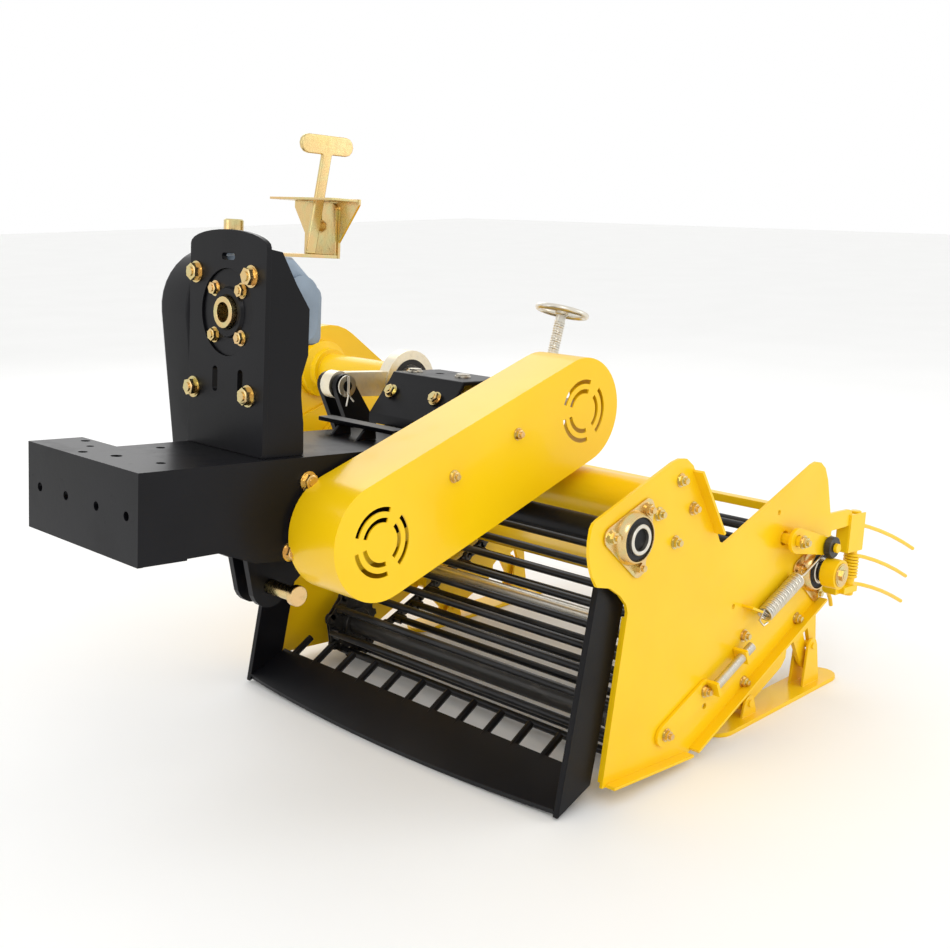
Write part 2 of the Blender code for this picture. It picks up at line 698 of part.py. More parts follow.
# ---- drive ------------------------------------------------------------------
def belt_guard():
    outer = capsule(JACK_AXIS, DRIVE_AXIS, GUARD_R, GUARD_R, 14)
    inner = capsule(JACK_AXIS, DRIVE_AXIS, GUARD_R - GUARD_T, GUARD_R - GUARD_T, 14)
    holes = []
    for centre in (JACK_AXIS, DRIVE_AXIS):
        for r, starts in ((0.036, (15, 135, 255)), (0.025, (15, 135, 255))):
            for start in starts:
                out = arc(centre, r, start, start + 90, 5)
                back = arc(centre, r - 0.0045, start + 90, start, 5)
                holes.append(out + back)
    y = GUARD_FACE_Y
    finish(tray("belt_guard", outer, inner, holes, y, y - GUARD_T, y - GUARD_DEPTH), "yellow")


def far_guard():
    """A closed cover outside the right plate, from the drive shaft to the rear shaft."""
    face = -PLATE_OUT - 0.050
    back = -PLATE_OUT - SEAT
    front, rear = FAR_GUARD_R
    outer = capsule(FAR_GUARD_AT, REAR_AXIS, front, rear, 16)
    inner = capsule(FAR_GUARD_AT, REAR_AXIS, front - GUARD_T, rear - GUARD_T, 16)
    cover = tray("far_guard", outer, inner, [], face, face + GUARD_T, back - GUARD_T / 2)
    holes = [circle(DRIVE_AXIS, DRIVE_R + RUN, 20), circle(REAR_AXIS, SHAFT_R + 0.004, 20)]
    finish(fuse(cover, prism("back", "Y", back - GUARD_T, back, outer, holes)), "yellow")


def drive():
    """The eccentric shaft in its housing, from the belt guard to the far guard."""
    ends = (-PLATE_OUT - 0.036, GUARD_FACE_Y - GUARD_T - 0.006)
    finish(drum("drive_shaft", DRIVE_AXIS, "Y", *ends, DRIVE_R, 20), "zinc")
    r = DRIVE_R + RUN
    housing = ring("shaft_housing", DRIVE_AXIS, "Y", ROD_Y + ROD_T / 2 + 0.008, 0.108, r, HOUSING_R, 20)
    foot = HITCH_TOP + SEAT
    half = HOUSING_R - 0.001
    saddles = [box("saddle", (DRIVE_AXIS[0] - half, y, foot),
                   (DRIVE_AXIS[0] + half, y + 0.026, DRIVE_AXIS[1] - DRIVE_R - 0.001))
               for y in (-0.034, 0.030)]
    finish(fuse(housing, *saddles), "yellow")
    stop = ROD_Y - ROD_T / 2 - 0.006
    profile = [(r, -PLATE_OUT), (FAR_FLANGE_R, -PLATE_OUT), (FAR_FLANGE_R, 0.010 - PLATE_OUT),
               (0.031, 0.014 - PLATE_OUT), (0.031, 0.024 - PLATE_OUT), (FAR_HOUSING_R, 0.024 - PLATE_OUT),
               (FAR_HOUSING_R, stop), (r, stop)]
    finish(turned("far_housing", DRIVE_AXIS, "Y", profile, 24), "yellow")
    studs = (("guard_stud_front", HITCH_WIDTH / 2), ("guard_stud_rear", 0.062))
    for (name, start), point in zip(studs, GUARD_STUDS):
        stop = GUARD_FACE_Y - GUARD_T - SEAT
        finish(drum(name, point, "Y", start + SEAT, stop, STUD_R, 12), "zinc")


def cross_beam():
    """A round tube between the side plates, with a bolting plate at each end."""
    end = PLATE_IN - SEAT
    inner = end - 0.003
    beam = ring("cross_beam", BEAM, "Y", -inner, inner, BEAM_R - BEAM_WALL, BEAM_R, 28)
    corners = rounded(arc(BEAM, BEAM_PLATE, 0, 270, 3), 0.010, 3)
    hole = circle(BEAM, BEAM_R - BEAM_WALL - 0.003, 20)
    plates = []
    for side in (1, -1):
        lo, hi = sorted((side * end, side * (end - 0.006)))
        plates.append(prism("plate", "Y", lo, hi, corners, [hole]))
    finish(fuse(beam, *plates), "yellow")


def beam_bracket():
    """A folded bracket over the drive shaft's housing, standing on the frame."""
    lo, hi = -0.066, 0.062
    t = 0.005
    top = DRIVE_AXIS[1] + HOUSING_R + SEAT + t
    foot = HITCH_TOP + SEAT
    front, knee, rear = -0.012, -0.046, -0.128
    outline = [(front, foot), (front + t, foot), (front + t, foot + 0.012), (knee + t, top - 0.008),
               (knee, top), (rear, top), (rear, top - t), (knee - 0.003, top - t),
               (knee, top - 0.011), (front, foot + 0.012)]
    finish(prism("beam_bracket", "Y", lo, hi, outline), "black")


def stop_plate():
    """A narrow plate on two gussets, across the frame in front of the bracket."""
    lo, hi = -0.034, 0.098
    foot = HITCH_TOP + SEAT
    plate = box("stop_plate", (0.078, lo, 0.420), (0.100, hi, 0.425))
    ribs = []
    for y in (0.000, 0.045):
        rib = [(0.080, foot), (0.110, foot), (0.096, 0.4215), (0.082, 0.4215)]
        ribs.append(prism("rib", "Y", y, y + 0.004, rib))
    finish(fuse(plate, *ribs), "black")


def tie_bars():
    """A round tie tube and a flat tie bar between the side plates, inside the conveyor."""
    end = PLATE_IN - SEAT
    finish(drum("tie_tube", along_conveyor(0.150, 0.0), "Y", -end, end, 0.011, 16), "zinc")
    u, v = along_conveyor(0.235, 0.012), along_conveyor(0.275, 0.012)
    w, x = along_conveyor(0.275, 0.007), along_conveyor(0.235, 0.007)
    finish(prism("tie_flat", "Y", -end, end, [u, v, w, x]), "yellow")


def tensioners():
    """A slide for each end of the front shaft, with its draw screw."""
    for side, tag in ((1, "left"), (-1, "right")):
        a, b = along_conveyor(-0.002), along_conveyor(0.088)
        outline = capsule(a, b, 0.014, 0.014, 6)
        lo, hi = sorted((side * (PLATE_OUT + SEAT), side * (PLATE_OUT + 0.0045)))
        slide = prism("tensioner_" + tag, "Y", lo, hi, outline)
        y = side * (PLATE_OUT + 0.012)
        p, q = along_conveyor(0.094), along_conveyor(0.182)
        start, stop = (p[0], y, p[1]), (q[0], y, q[1])
        screw = rod("screw", start, stop, 0.005, 10)
        lugs = []
        for s in (0.093, 0.160):
            corner = [along_conveyor(s, v) for v in (-0.010, 0.010)]
            far = [along_conveyor(s + 0.005, v) for v in (0.010, -0.010)]
            near_y, far_y = sorted((side * (PLATE_OUT + SEAT), side * (PLATE_OUT + 0.020)))
            lugs.append(prism("lug", "Y", near_y, far_y, corner + far))
        joint = [along_conveyor(0.060, -0.009), along_conveyor(0.060, 0.009),
                 along_conveyor(0.096, 0.009), along_conveyor(0.096, -0.009)]
        bridge = prism("bridge", "Y", lo + 0.0002, hi - 0.0002, joint)
        finish(fuse(slide, bridge, screw, *lugs), "yellow")


# ---- rake at the discharge --------------------------------------------------
def roller_centre():
    return (REAR_AXIS[0], REAR_AXIS[1] + CAM_R + ROLLER_R + SEAT)


def rake():
    """The shaking rake: an outer lever on the cam, and arms, bars and tines inside."""
    roller = roller_centre()
    cam = ring("cam_hub", REAR_AXIS, "Y", *CAM_Y, SHAFT_R + 2 * SEAT, CAM_R, 24)
    finish(cam, "yellow")
    y = CAM_Y[0] - 0.0065
    hole = circle(RAKE_PIVOT, RAKE_PIN_R + 2 * SEAT, 16)
    lever = prism("rake_lever", "Y", y, y + 0.005, capsule(RAKE_PIVOT, roller, 0.017, 0.012, 8), [hole])
    wheel_y = y + 0.0065
    wheel = ring("rake_roller", roller, "Y", wheel_y, wheel_y + ROLLER_W, 0.004 + RUN, ROLLER_R, 24)
    finish(wheel, "steel")
    head = wheel_y + ROLLER_W + SEAT * 2
    bolt = [(0, y - 0.004), (0.004, y - 0.004), (0.004, head), (0.0065, head), (0.0065, head + 0.005),
            (0, head + 0.005)]
    finish(fuse(lever, turned("bolt", roller, "Y", bolt, 12)), "yellow")
    rake_frame(y + 0.012)


def rake_frame(pin_end):
    """Two arms on pins in the side plates, with posts, cross bars and tines between."""
    inner = PLATE_IN - 0.006
    within = inner - RAKE_ARM_T
    pin = drum("rake_frame", RAKE_PIVOT, "Y", within + 0.002, pin_end, RAKE_PIN_R, 16)
    stub = drum("stub", RAKE_PIVOT, "Y", -PLATE_IN + SEAT, -within - 0.002, RAKE_PIN_R, 16)
    knee = (RAKE_BAR[0] + 0.006, RAKE_PIVOT[1] + 0.004)
    arm = capsule(RAKE_PIVOT, knee, 0.015, 0.012, 8)
    arms = [prism("arm", "Y", *sorted((side * inner, side * within)), arm) for side in (1, -1)]
    finish(fuse(pin, stub, *arms, *rake_comb(within + 0.001)), "yellow")


def rake_comb(half):
    """The rake's posts, cross bars, fingers and tines, reaching half to each side."""
    x, z = RAKE_BAR
    low, high = RAKE_POST_Z
    base = box("base", (x - 0.010, -half, z - 0.006), (x + 0.010, half, z + 0.006))
    pieces = [base, box("rail", (x - 0.004, -half, 0.272), (x + 0.016, half, 0.284))]
    post = RAKE_POST_X + 0.004
    for side in (1, -1):
        y = side * (half - 0.002)
        pieces.append(drum("post", (post, y), "Z", low, high, 0.008, 12))
        pieces.append(box("head", (post - 0.012, y - 0.012, 0.232), (x + 0.002, y + 0.010, 0.288)))
        pieces.append(box("foot", (post - 0.009, y - 0.010, z - 0.005), (x, y + 0.010, z + 0.005)))
        for height, end_x, end_z in FINGER_ENDS:
            start = Vector((RAKE_POST_X, y, height))
            pieces.append(rod("finger", start, Vector((end_x, y, end_z)), 0.003, 6))
    for i in range(COMB_TINES):
        y = (half - 0.030) * (2 * i / (COMB_TINES - 1) - 1)
        start = Vector((x, y, z))
        bend = start + Vector((-0.022, 0, -0.012))
        tine = rod("tine", start, bend, 0.003, 6)
        tip = rod("tip", bend + Vector((0.002, 0, 0.001)), bend + Vector((-0.016, 0, -0.024)), 0.0029, 6)
        pieces += [tine, tip]
    return pieces


# ---- skids ------------------------------------------------------------------
def parked(x, z):
    """Where a point of the machine lies once it stands nose up on the ground."""
    c, d = math.cos(STAND_PITCH), math.sin(STAND_PITCH)
    x -= SHARE_TIP
    return (SHARE_TIP + x * c - z * d, x * d + z * c)


def skid(side, tag):
    """A sole plate, flat on the ground, with two pairs of cheeks for its pins."""
    middle = side * SKID_Y
    half = SKID_WIDTH / 2
    front, rear = SKID_X
    ends = arc((front - half, middle), half, -90, 90, 8) + arc((rear + half, middle), half, 90, 270, 8)
    sole = prism("skid_" + tag, "Z", 0, SKID_T, ends)
    cheeks = []
    hinge, top = parked(*SKID_PIN), parked(*SKID_TOP_PIN)
    for way in (1, -1):
        lo, hi = sorted((middle + way * SKID_CHEEK, middle + way * (SKID_CHEEK + SKID_CHEEK_T)))
        for (x, z), wide in ((hinge, 0.018), (top, 0.022)):
            outline = [(x + wide, 0.003), (x + 0.012, z)] + arc((x, z), 0.011, 30, 150, 4)
            outline += [(x - 0.012, z), (x - wide, 0.003)]
            cheeks.append(prism("cheek", "Y", lo, hi, outline))
    reach = SKID_CHEEK + SKID_CHEEK_T + 0.003
    pins = [drum("pin", at, "Y", middle - reach, middle + reach, SKID_PIN_R, 12) for at in (hinge, top)]
    finish(fuse(sole, *cheeks, *pins), "yellow")


def sector_slot():
    """The curved slot that the rear pin runs in, round the front pin."""
    dx, dz = SKID_TOP_PIN[0] - SKID_PIN[0], SKID_TOP_PIN[1] - SKID_PIN[1]
    span = math.hypot(dx, dz)
    rest = math.degrees(math.atan2(dz, dx))
    ease = math.degrees((SKID_PIN_R + 0.001) / span)
    wide = SKID_PIN_R + 0.001
    swing = math.degrees(SKID_SWING)
    low, high = rest - swing - 2 - ease, rest + 2 + ease
    outer = arc(SKID_PIN, span + wide, low, high, 8)
    inner = arc(SKID_PIN, span - wide, high, low, 8)
    return outer + inner


def skid_carrier(side, tag):
    """The link to the front pin and the slotted sector, held off the side plate."""
    middle = side * SKID_Y
    lo, hi = middle - CARRIER_T / 2, middle + CARRIER_T / 2
    outline = [(-0.328, 0.088), (-0.374, 0.045), (-0.386, 0.042), (-0.397, 0.045), (-0.474, 0.084),
               (-0.484, 0.096), (-0.484, 0.108), (-0.498, 0.120), (-0.522, 0.084), (-0.532, 0.072),
               (-0.546, 0.066), (-0.558, 0.072), (-0.566, 0.090), (-0.556, 0.148), (-0.540, 0.172),
               (-0.515, 0.178), (-0.464, 0.178), (-0.446, 0.174), (-0.345, 0.113), (-0.330, 0.108)]
    holes = [circle(SKID_PIN, SKID_PIN_R + RUN, 12), sector_slot()]
    carrier = prism("skid_carrier_" + tag, "Y", lo, hi, outline, holes)
    start = side * (SKID_Y + CARRIER_T / 2 - 0.001)
    stop = side * (PLATE_IN - SEAT)
    ends = sorted((start, stop))
    spacers = [drum("spacer", bolt, "Y", *ends, 0.009, 12) for bolt in CARRIER_BOLTS]
    finish(fuse(carrier, *spacers), "yellow")


def skids():
    for side, tag in ((1, "left"), (-1, "right")):
        skid(side, tag)
        skid_carrier(side, tag)


# ---- handwheel --------------------------------------------------------------
def handwheel():
    """A spoked wheel on a leaning screw."""
    wheel = turned("handwheel", (0, 0), "Z", [(WHEEL_R - 0.008, -0.004), (WHEEL_R, -0.002),
                                               (WHEEL_R, 0.004), (WHEEL_R - 0.008, 0.006)], 24)
    spoke = box("spoke", (-WHEEL_R + 0.004, -0.005, -0.002), (WHEEL_R - 0.004, 0.005, 0.003))
    stem = drum("stem", (0, 0), "Z", -SCREW_LENGTH, 0.008, SCREW_R, 12)
    fuse(wheel, spoke, stem)
    wheel.data.transform(screw_frame())
    finish(wheel, "zinc")


def screw_frame():
    """The screw's own frame: origin in the wheel's middle, +Z up the screw."""
    return Matrix.Translation(WHEEL) @ Matrix.Rotation(-WHEEL_LEAN, 4, "Y")


def screw_strap():
    """The strap on the beam that the handwheel's screw turns in."""
    beam = screw_frame().inverted() @ Vector((BEAM[0], 0, BEAM[1]))
    low = beam.z + BEAM_R + SEAT
    strap = box("screw_strap", (-0.018, -0.018, low), (beam.x + 0.008, 0.018, low + 0.008))
    cut(strap, drum("hole", (0, 0), "Z", low - 0.010, low + 0.020, SCREW_R + RUN, 16))
    strap.data.transform(screw_frame())
    finish(strap, "yellow")


def park():
    """Tips the machine back onto its share and skids, over its box's bottom centre."""
    tip = Matrix.Translation((SHARE_TIP, 0, 0))
    stand = tip @ Matrix.Rotation(-STAND_PITCH, 4, "Y") @ tip.inverted()
    pieces = list(bpy.data.objects)
    for piece in pieces:
        if piece.name not in ("skid_left", "skid_right"):
            piece.data.transform(stand)
    corners = [v.co for piece in pieces for v in piece.data.vertices]
    low = [min(v[k] for v in corners) for k in range(3)]
    high = [max(v[k] for v in corners) for k in range(3)]
    centre = Vector(((low[0] + high[0]) / 2, (low[1] + high[1]) / 2, low[2]))
    for piece in pieces:
        piece.data.transform(Matrix.Translation(-centre))


def main():
    clear_scene()
    share_blade()
    share_arms()
    pivot_tube()
    con_rod()
    side_plates()
    bearings()
    conveyor()
    hitch_frame()
    lower_lugs()
    upright()
    gearbox()
    chain_cover()
    shift()
    belt_guard()
    far_guard()
    drive()
    cross_beam()
    beam_bracket()
    stop_plate()
    tie_bars()
    tensioners()
    rake()
    skids()
    handwheel()
    screw_strap()
    park()


main()
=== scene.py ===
"""The finished potato digger: detailed pieces and materials round its CAD frame.

Sizes are in metres.  Most pieces are laid out level, with the frame's top flat,
and are tipped back by STAND to the way the machine parks.
"""
import json
from math import acos, atan2, cos, degrees, hypot, pi, radians, sin

import bmesh
import bpy
from bpy.props import FloatProperty, FloatVectorProperty, IntProperty, PointerProperty
from mathutils import Matrix, Vector
from mathutils.geometry import tessellate_polygon


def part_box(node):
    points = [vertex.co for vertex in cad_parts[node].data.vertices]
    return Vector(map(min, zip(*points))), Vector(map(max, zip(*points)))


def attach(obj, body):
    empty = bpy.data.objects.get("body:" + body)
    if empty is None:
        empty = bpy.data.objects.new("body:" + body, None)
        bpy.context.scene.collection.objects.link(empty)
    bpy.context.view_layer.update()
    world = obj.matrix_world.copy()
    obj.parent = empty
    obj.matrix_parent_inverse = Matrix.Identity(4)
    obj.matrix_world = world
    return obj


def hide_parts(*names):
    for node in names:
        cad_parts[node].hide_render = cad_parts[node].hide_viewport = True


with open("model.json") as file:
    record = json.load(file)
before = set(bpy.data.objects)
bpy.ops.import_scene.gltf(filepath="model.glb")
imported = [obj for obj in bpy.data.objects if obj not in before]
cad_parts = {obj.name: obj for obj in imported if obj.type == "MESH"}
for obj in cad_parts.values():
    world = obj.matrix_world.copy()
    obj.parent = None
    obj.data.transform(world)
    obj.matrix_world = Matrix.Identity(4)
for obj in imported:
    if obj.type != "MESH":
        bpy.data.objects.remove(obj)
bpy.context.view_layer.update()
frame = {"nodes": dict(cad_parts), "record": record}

bl_info = {
    "name": "Potato digger",
    "version": (1, 0, 0),
    "blender": (4, 5, 0),
    "location": "3D View > Sidebar > Digger",
    "description": "Builds the visible pieces of a belt-driven potato digger",
    "category": "Add Mesh",
}

# ---- how it stands ----------------------------------------------------------
PITCH = radians(4.4)
TIP = 0.01269            # x of the share's edge, laid out level
HITCH_FRONT = (0.428, 0.315)
FRAME_HALF = 0.108


def standing():
    """From the level layout to the parked machine."""
    tip = Matrix.Translation((TIP, 0, 0))
    turn = tip @ Matrix.Rotation(-PITCH, 4, "Y") @ tip.inverted()
    front = turn @ Vector((HITCH_FRONT[0], 0, HITCH_FRONT[1]))
    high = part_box("hitch_frame")[1]
    return Matrix.Translation((high[0] - front.x, high[1] - FRAME_HALF, 0)) @ turn


STAND = standing()
PLATE_IN, PLATE_OUT = 0.304, 0.308
PIVOT = (-0.076, 0.322)
SLOPE = radians(26.6)
FRONT_AXIS = (-0.168, 0.068)
CHAIN_PITCH, LINKS, TEETH = 0.0381, 26, 7
WHEEL_R = CHAIN_PITCH / 2 / sin(pi / TEETH)
RUN = (LINKS * CHAIN_PITCH - 2 * pi * WHEEL_R) / 2
REAR_AXIS = (FRONT_AXIS[0] - RUN * cos(SLOPE), FRONT_AXIS[1] + RUN * sin(SLOPE))
CHAIN_Y = PLATE_IN - 0.040
DRIVE_AXIS = (-0.124, 0.447)
JACK_AXIS = (0.190, 0.326)
HUB = (0.0315, 0.552)
ROD_PIN = (0.000, 0.449)
RAKE_PIVOT = (-0.408, 0.280)
GUARD_FACE = 0.188
FLANGE_BOLTS_R, FLANGE_HEADINGS = 0.0385, (8, 128, 248)
BEARINGS = {"pivot_bearing_left": (PIVOT, PLATE_OUT + 0.0003, 1),
            "pivot_bearing_right": (PIVOT, -PLATE_OUT - 0.0003, -1),
            "rear_bearing_left": (REAR_AXIS, PLATE_OUT + 0.0003, 1),
            "rear_bearing_right": (REAR_AXIS, -PLATE_IN + 0.0003, 1)}
FLANGE_THICK = 0.0025
QUARTER = (pi / 2, 0, 0)


# ---- shader maths -----------------------------------------------------------
class Term:
    """A socket in a material's tree, written into sums as if it were a number."""

    def __init__(self, tree, socket):
        self.tree, self.socket = tree, socket

    def maths(self, operation, a, b):
        return add(self.tree, "ShaderNodeMath", {"operation": operation}, {0: a, 1: b})

    def __add__(self, other):
        return self.maths("ADD", self, other)

    def __sub__(self, other):
        return self.maths("SUBTRACT", self, other)

    def __rsub__(self, other):
        return self.maths("SUBTRACT", other, self)

    def __mul__(self, other):
        return self.maths("MULTIPLY", self, other)

    __radd__, __rmul__ = __add__, __mul__


def add(tree, kind, settings, sockets, output=0):
    """One node: its settings first, then the values or links of its sockets."""
    node = tree.nodes.new(kind)
    for key, value in settings.items():
        if key == "stops":
            for element, position in zip(node.color_ramp.elements, value):
                element.position = position
        else:
            setattr(node, key, value)
    for key, value in sockets.items():
        if isinstance(value, Term):
            tree.links.new(value.socket, node.inputs[key])
        else:
            node.inputs[key].default_value = value
    return Term(tree, node.outputs[output])


class Finish:
    """A material that is built up from its Principled shader."""

    def __init__(self, name, **fixed):
        self.material = bpy.data.materials.new(name)
        self.material.use_nodes = True
        self.tree = self.material.node_tree
        self.shader = self.tree.nodes["Principled BSDF"]
        for key, value in fixed.items():
            self.shader.inputs[key.replace("_", " ")].default_value = value
        self.place = self.node("ShaderNodeTexCoord", {}, {}, "Object")

    def node(self, kind, settings, sockets, output=0):
        return add(self.tree, kind, settings, sockets, output)

    def noise(self, scale, detail=3.0, roughness=0.5, stretch=None):
        where = self.place
        if stretch:
            where = self.node("ShaderNodeMapping", {}, {"Vector": self.place, "Scale": stretch})
        return self.node("ShaderNodeTexNoise", {}, {"Vector": where, "Scale": scale, "Detail": detail,
                                                    "Roughness": roughness})

    def patches(self, low, high, *noise):
        """Noise that is cut off below low and full above high."""
        return self.node("ShaderNodeValToRGB", {"stops": (low, high)}, {"Fac": self.noise(*noise)})

    def mix(self, factor, a, b):
        return self.node("ShaderNodeMix", {"data_type": "RGBA"}, {0: factor, 6: a, 7: b}, 2)

    def set(self, socket, term):
        self.tree.links.new(term.socket, self.shader.inputs[socket])

    def bump(self, height, strength, distance):
        self.set("Normal", self.node("ShaderNodeBump", {}, {"Height": height, "Strength": strength,
                                                            "Distance": distance}))


def colour(rgb, factor=1.0):
    return (rgb[0] * factor, rgb[1] * factor, rgb[2] * factor, 1.0)


def paint_finish(name, rgb, shade, roughness, coat, dust, shine):
    """Sprayed enamel: slight flow marks, thin and thick places, and settled dust."""
    finish = Finish(name, Coat_Roughness=0.08, Specular_IOR_Level=shine)
    cloudy = finish.patches(0.38, 0.68, 7.0, 4.0)
    tone = finish.mix(cloudy, colour(rgb), colour(shade))
    specks = finish.patches(0.70, 0.78, 900.0, 2.0, 0.6)
    patches = finish.patches(0.50, 0.72, 11.0, 5.0, 0.65)
    dusty = specks * patches
    tone = finish.mix(dusty * dust, tone, colour((0.55, 0.50, 0.42)))
    scratch = finish.patches(0.64, 0.72, 85.0, 6.0, 0.7)
    finish.set("Base Color", tone)
    finish.set("Roughness", roughness + 0.10 * patches + 0.12 * scratch)
    finish.set("Coat Weight", coat - 0.5 * coat * patches)
    flow = finish.noise(230.0, 2.0) * 0.6 + finish.noise(38.0, 2.0) * 0.8
    finish.bump(flow, 0.10, 0.0006)
    return finish.material


def plating_finish(name, rgb, tints, roughness, grain):
    """Zinc plating: metal that shifts between tints, with fine handling marks."""
    finish = Finish(name, Metallic=1.0, Specular_IOR_Level=0.5)
    sheen = finish.patches(0.35, 0.62, 28.0, 3.0)
    second = finish.patches(0.45, 0.66, 64.0, 2.0)
    tone = finish.mix(sheen, colour(rgb), colour(tints[0]))
    tone = finish.mix(second * 0.6, tone, colour(tints[1]))
    marks = finish.patches(0.5, 0.72, 140.0, 5.0, 0.7, (1.0, 6.0, 1.0))
    finish.set("Base Color", finish.mix(marks * 0.25, tone, colour(rgb, 0.55)))
    finish.set("Roughness", roughness + 0.16 * marks)
    finish.bump(finish.noise(grain, 3.0), 0.15, 0.0003)
    return finish.material


def cast_finish(name, rgb, roughness):
    """Painted casting: a pebbled skin under a thin coat."""
    finish = Finish(name, Coat_Roughness=0.3, Metallic=0.1)
    cloudy = finish.patches(0.35, 0.7, 18.0, 4.0)
    finish.set("Base Color", finish.mix(cloudy, colour(rgb), colour(rgb, 0.72)))
    pebble = finish.noise(420.0, 4.0, 0.6) + 0.5 * finish.noise(90.0, 3.0)
    finish.set("Roughness", roughness + 0.12 * cloudy)
    finish.bump(pebble, 0.35, 0.0007)
    return finish.material


def bar_finish(name, rgb, worn, roughness):
    """Black-painted or oiled steel, rubbed along its length."""
    finish = Finish(name, Metallic=0.35, Coat_Roughness=0.2)
    streak = finish.patches(0.52, 0.74, 34.0, 5.0, 0.65, (3.0, 0.35, 3.0))
    finish.set("Base Color", finish.mix(streak, colour(rgb), colour(worn)))
    finish.set("Roughness", roughness + 0.18 * streak)
    finish.bump(finish.noise(300.0, 3.0), 0.12, 0.0004)
    return finish.material


def seal_finish(name):
    """Moulded rubber, matt with a fine grain."""
    finish = Finish(name, Specular_IOR_Level=0.35)
    grain = finish.noise(500.0, 2.0)
    finish.set("Base Color", finish.mix(grain, colour((0.010, 0.010, 0.011)), colour((0.028, 0.028, 0.030))))
    finish.set("Roughness", 0.55 + 0.2 * grain)
    finish.bump(grain, 0.2, 0.0003)
    return finish.material


FINISHES = {}


def finishes():
    """All the digger's materials, made once."""
    if not FINISHES:
        paint = bpy.context.scene.digger_paint
        FINISHES.update(
            yellow=paint_finish("yellow enamel", paint.yellow, paint.yellow_shade, 0.30, 0.20, 0.12, 0.30),
            black=paint_finish("black enamel", paint.black, paint.black_shade, 0.34, 0.02, 0.10, 0.16),
            gold=plating_finish("gold zinc", (0.70, 0.52, 0.22), ((0.76, 0.52, 0.25), (0.60, 0.60, 0.30)),
                                0.22, 500.0),
            zinc=plating_finish("bright zinc", (0.70, 0.66, 0.58), ((0.76, 0.70, 0.58), (0.62, 0.62, 0.58)),
                                0.30, 420.0),
            satin=plating_finish("satin zinc", (0.80, 0.73, 0.58), ((0.84, 0.76, 0.58), (0.74, 0.70, 0.60)),
                                 0.40, 420.0),
            grey=cast_finish("grey casting", (0.24, 0.30, 0.37), 0.42),
            bars=bar_finish("black bars", (0.012, 0.012, 0.013), (0.05, 0.05, 0.052), 0.30),
            oiled=bar_finish("oiled steel", (0.035, 0.033, 0.030), (0.12, 0.11, 0.10), 0.38),
            seal=seal_finish("black seal"))
    return FINISHES


# ---- mesh helpers -----------------------------------------------------------
def linked(name, mesh):
    piece = bpy.data.objects.new(name, mesh)
    bpy.context.collection.objects.link(piece)
    return piece


def from_bmesh(name, bm):
    mesh = bpy.data.meshes.new(name)
    bm.to_mesh(mesh)
    bm.free()
    return linked(name, mesh)


def bake(piece):
    """Turns a piece's modifiers into plain mesh."""
    graph = bpy.context.evaluated_depsgraph_get()
    mesh = bpy.data.meshes.new_from_object(piece.evaluated_get(graph))
    piece.modifiers.clear()
    piece.data = mesh
    return piece


def finished(piece, body, finish, angle=38):
    """Gives a piece its material and its place in the CAD, and smooths it up to an angle."""
    piece.data.materials.clear()
    piece.data.materials.append(finishes()[finish])
    for face in piece.data.polygons:
        face.material_index = 0
    if angle:
        piece.data.shade_smooth()
        piece.data.set_sharp_from_angle(angle=radians(angle))
        level = piece.modifiers.new("flat faces", "WEIGHTED_NORMAL")
        level.keep_sharp, level.weight = True, 100
        bake(piece)
    else:
        piece.data.shade_flat()
    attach(piece, body)
    return piece


def stood(piece):
    piece.data.transform(STAND)
    return piece


def settled(piece, finish, body="frame", angle=30, node=None):
    """Stands a level piece on the machine and finishes it, for a CAD node or beside them."""
    finished(stood(piece), body, finish, angle)
    if node:
        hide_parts(node)
    return piece


def closed_body(name, bm):
    bmesh.ops.recalc_face_normals(bm, faces=bm.faces)
    return from_bmesh(name, bm)


def place(axis, u, v, w):
    return {"X": (w, u, v), "Y": (u, w, v), "Z": (u, v, w)}[axis]


def prism(name, axis, lo, hi, outline, holes=()):
    """A flat outline, with holes, given a thickness along an axis."""
    loops = [list(outline), *holes]
    bm = bmesh.new()
    levels = [[[bm.verts.new(place(axis, u, v, w)) for u, v in loop] for loop in loops] for w in (lo, hi)]
    triangles = tessellate_polygon([[Vector((u, v, 0)) for u, v in loop] for loop in loops])
    for level in levels:
        flat = [vert for loop in level for vert in loop]
        for tri in triangles:
            bm.faces.new([flat[i] for i in tri])
    for low, high in zip(*levels):
        for i in range(len(low)):
            j = (i + 1) % len(low)
            bm.faces.new((low[i], low[j], high[j], high[i]))
    bmesh.ops.dissolve_limit(bm, angle_limit=radians(1), verts=bm.verts, edges=bm.edges)
    return closed_body(name, bm)


def turned(name, centre, axis, profile, steps=48):
    """An outline of (radius, place along the axis) turned round it."""
    bm = bmesh.new()
    rows = []
    for r, w in profile:
        if r == 0:
            rows.append([bm.verts.new(place(axis, *centre, w))] * steps)
            continue
        row = []
        for i in range(steps):
            t = 2 * pi * i / steps
            u, v = centre[0] + r * cos(t), centre[1] + r * sin(t)
            row.append(bm.verts.new(place(axis, u, v, w)))
        rows.append(row)
    for k, row in enumerate(rows):
        following = rows[(k + 1) % len(rows)]
        if row[0] is row[1] and following[0] is following[1]:
            continue
        for i in range(steps):
            j = (i + 1) % steps
            bm.faces.new(list(dict.fromkeys((row[i], row[j], following[j], following[i]))))
    return closed_body(name, bm)


def drum(name, centre, axis, lo, hi, r, steps=32, lip=0.0):
    side = [(r - lip, lo), (r, lo + lip), (r, hi - lip), (r - lip, hi)] if lip else [(r, lo), (r, hi)]
    return turned(name, centre, axis, [(0, lo), *side, (0, hi)], steps)


def washer(name, centre, r_in, r_out, lo, hi, steps):
    return turned(name, centre, "Y", [(r_in, lo), (r_out, lo), (r_out, hi), (r_in, hi)], steps)


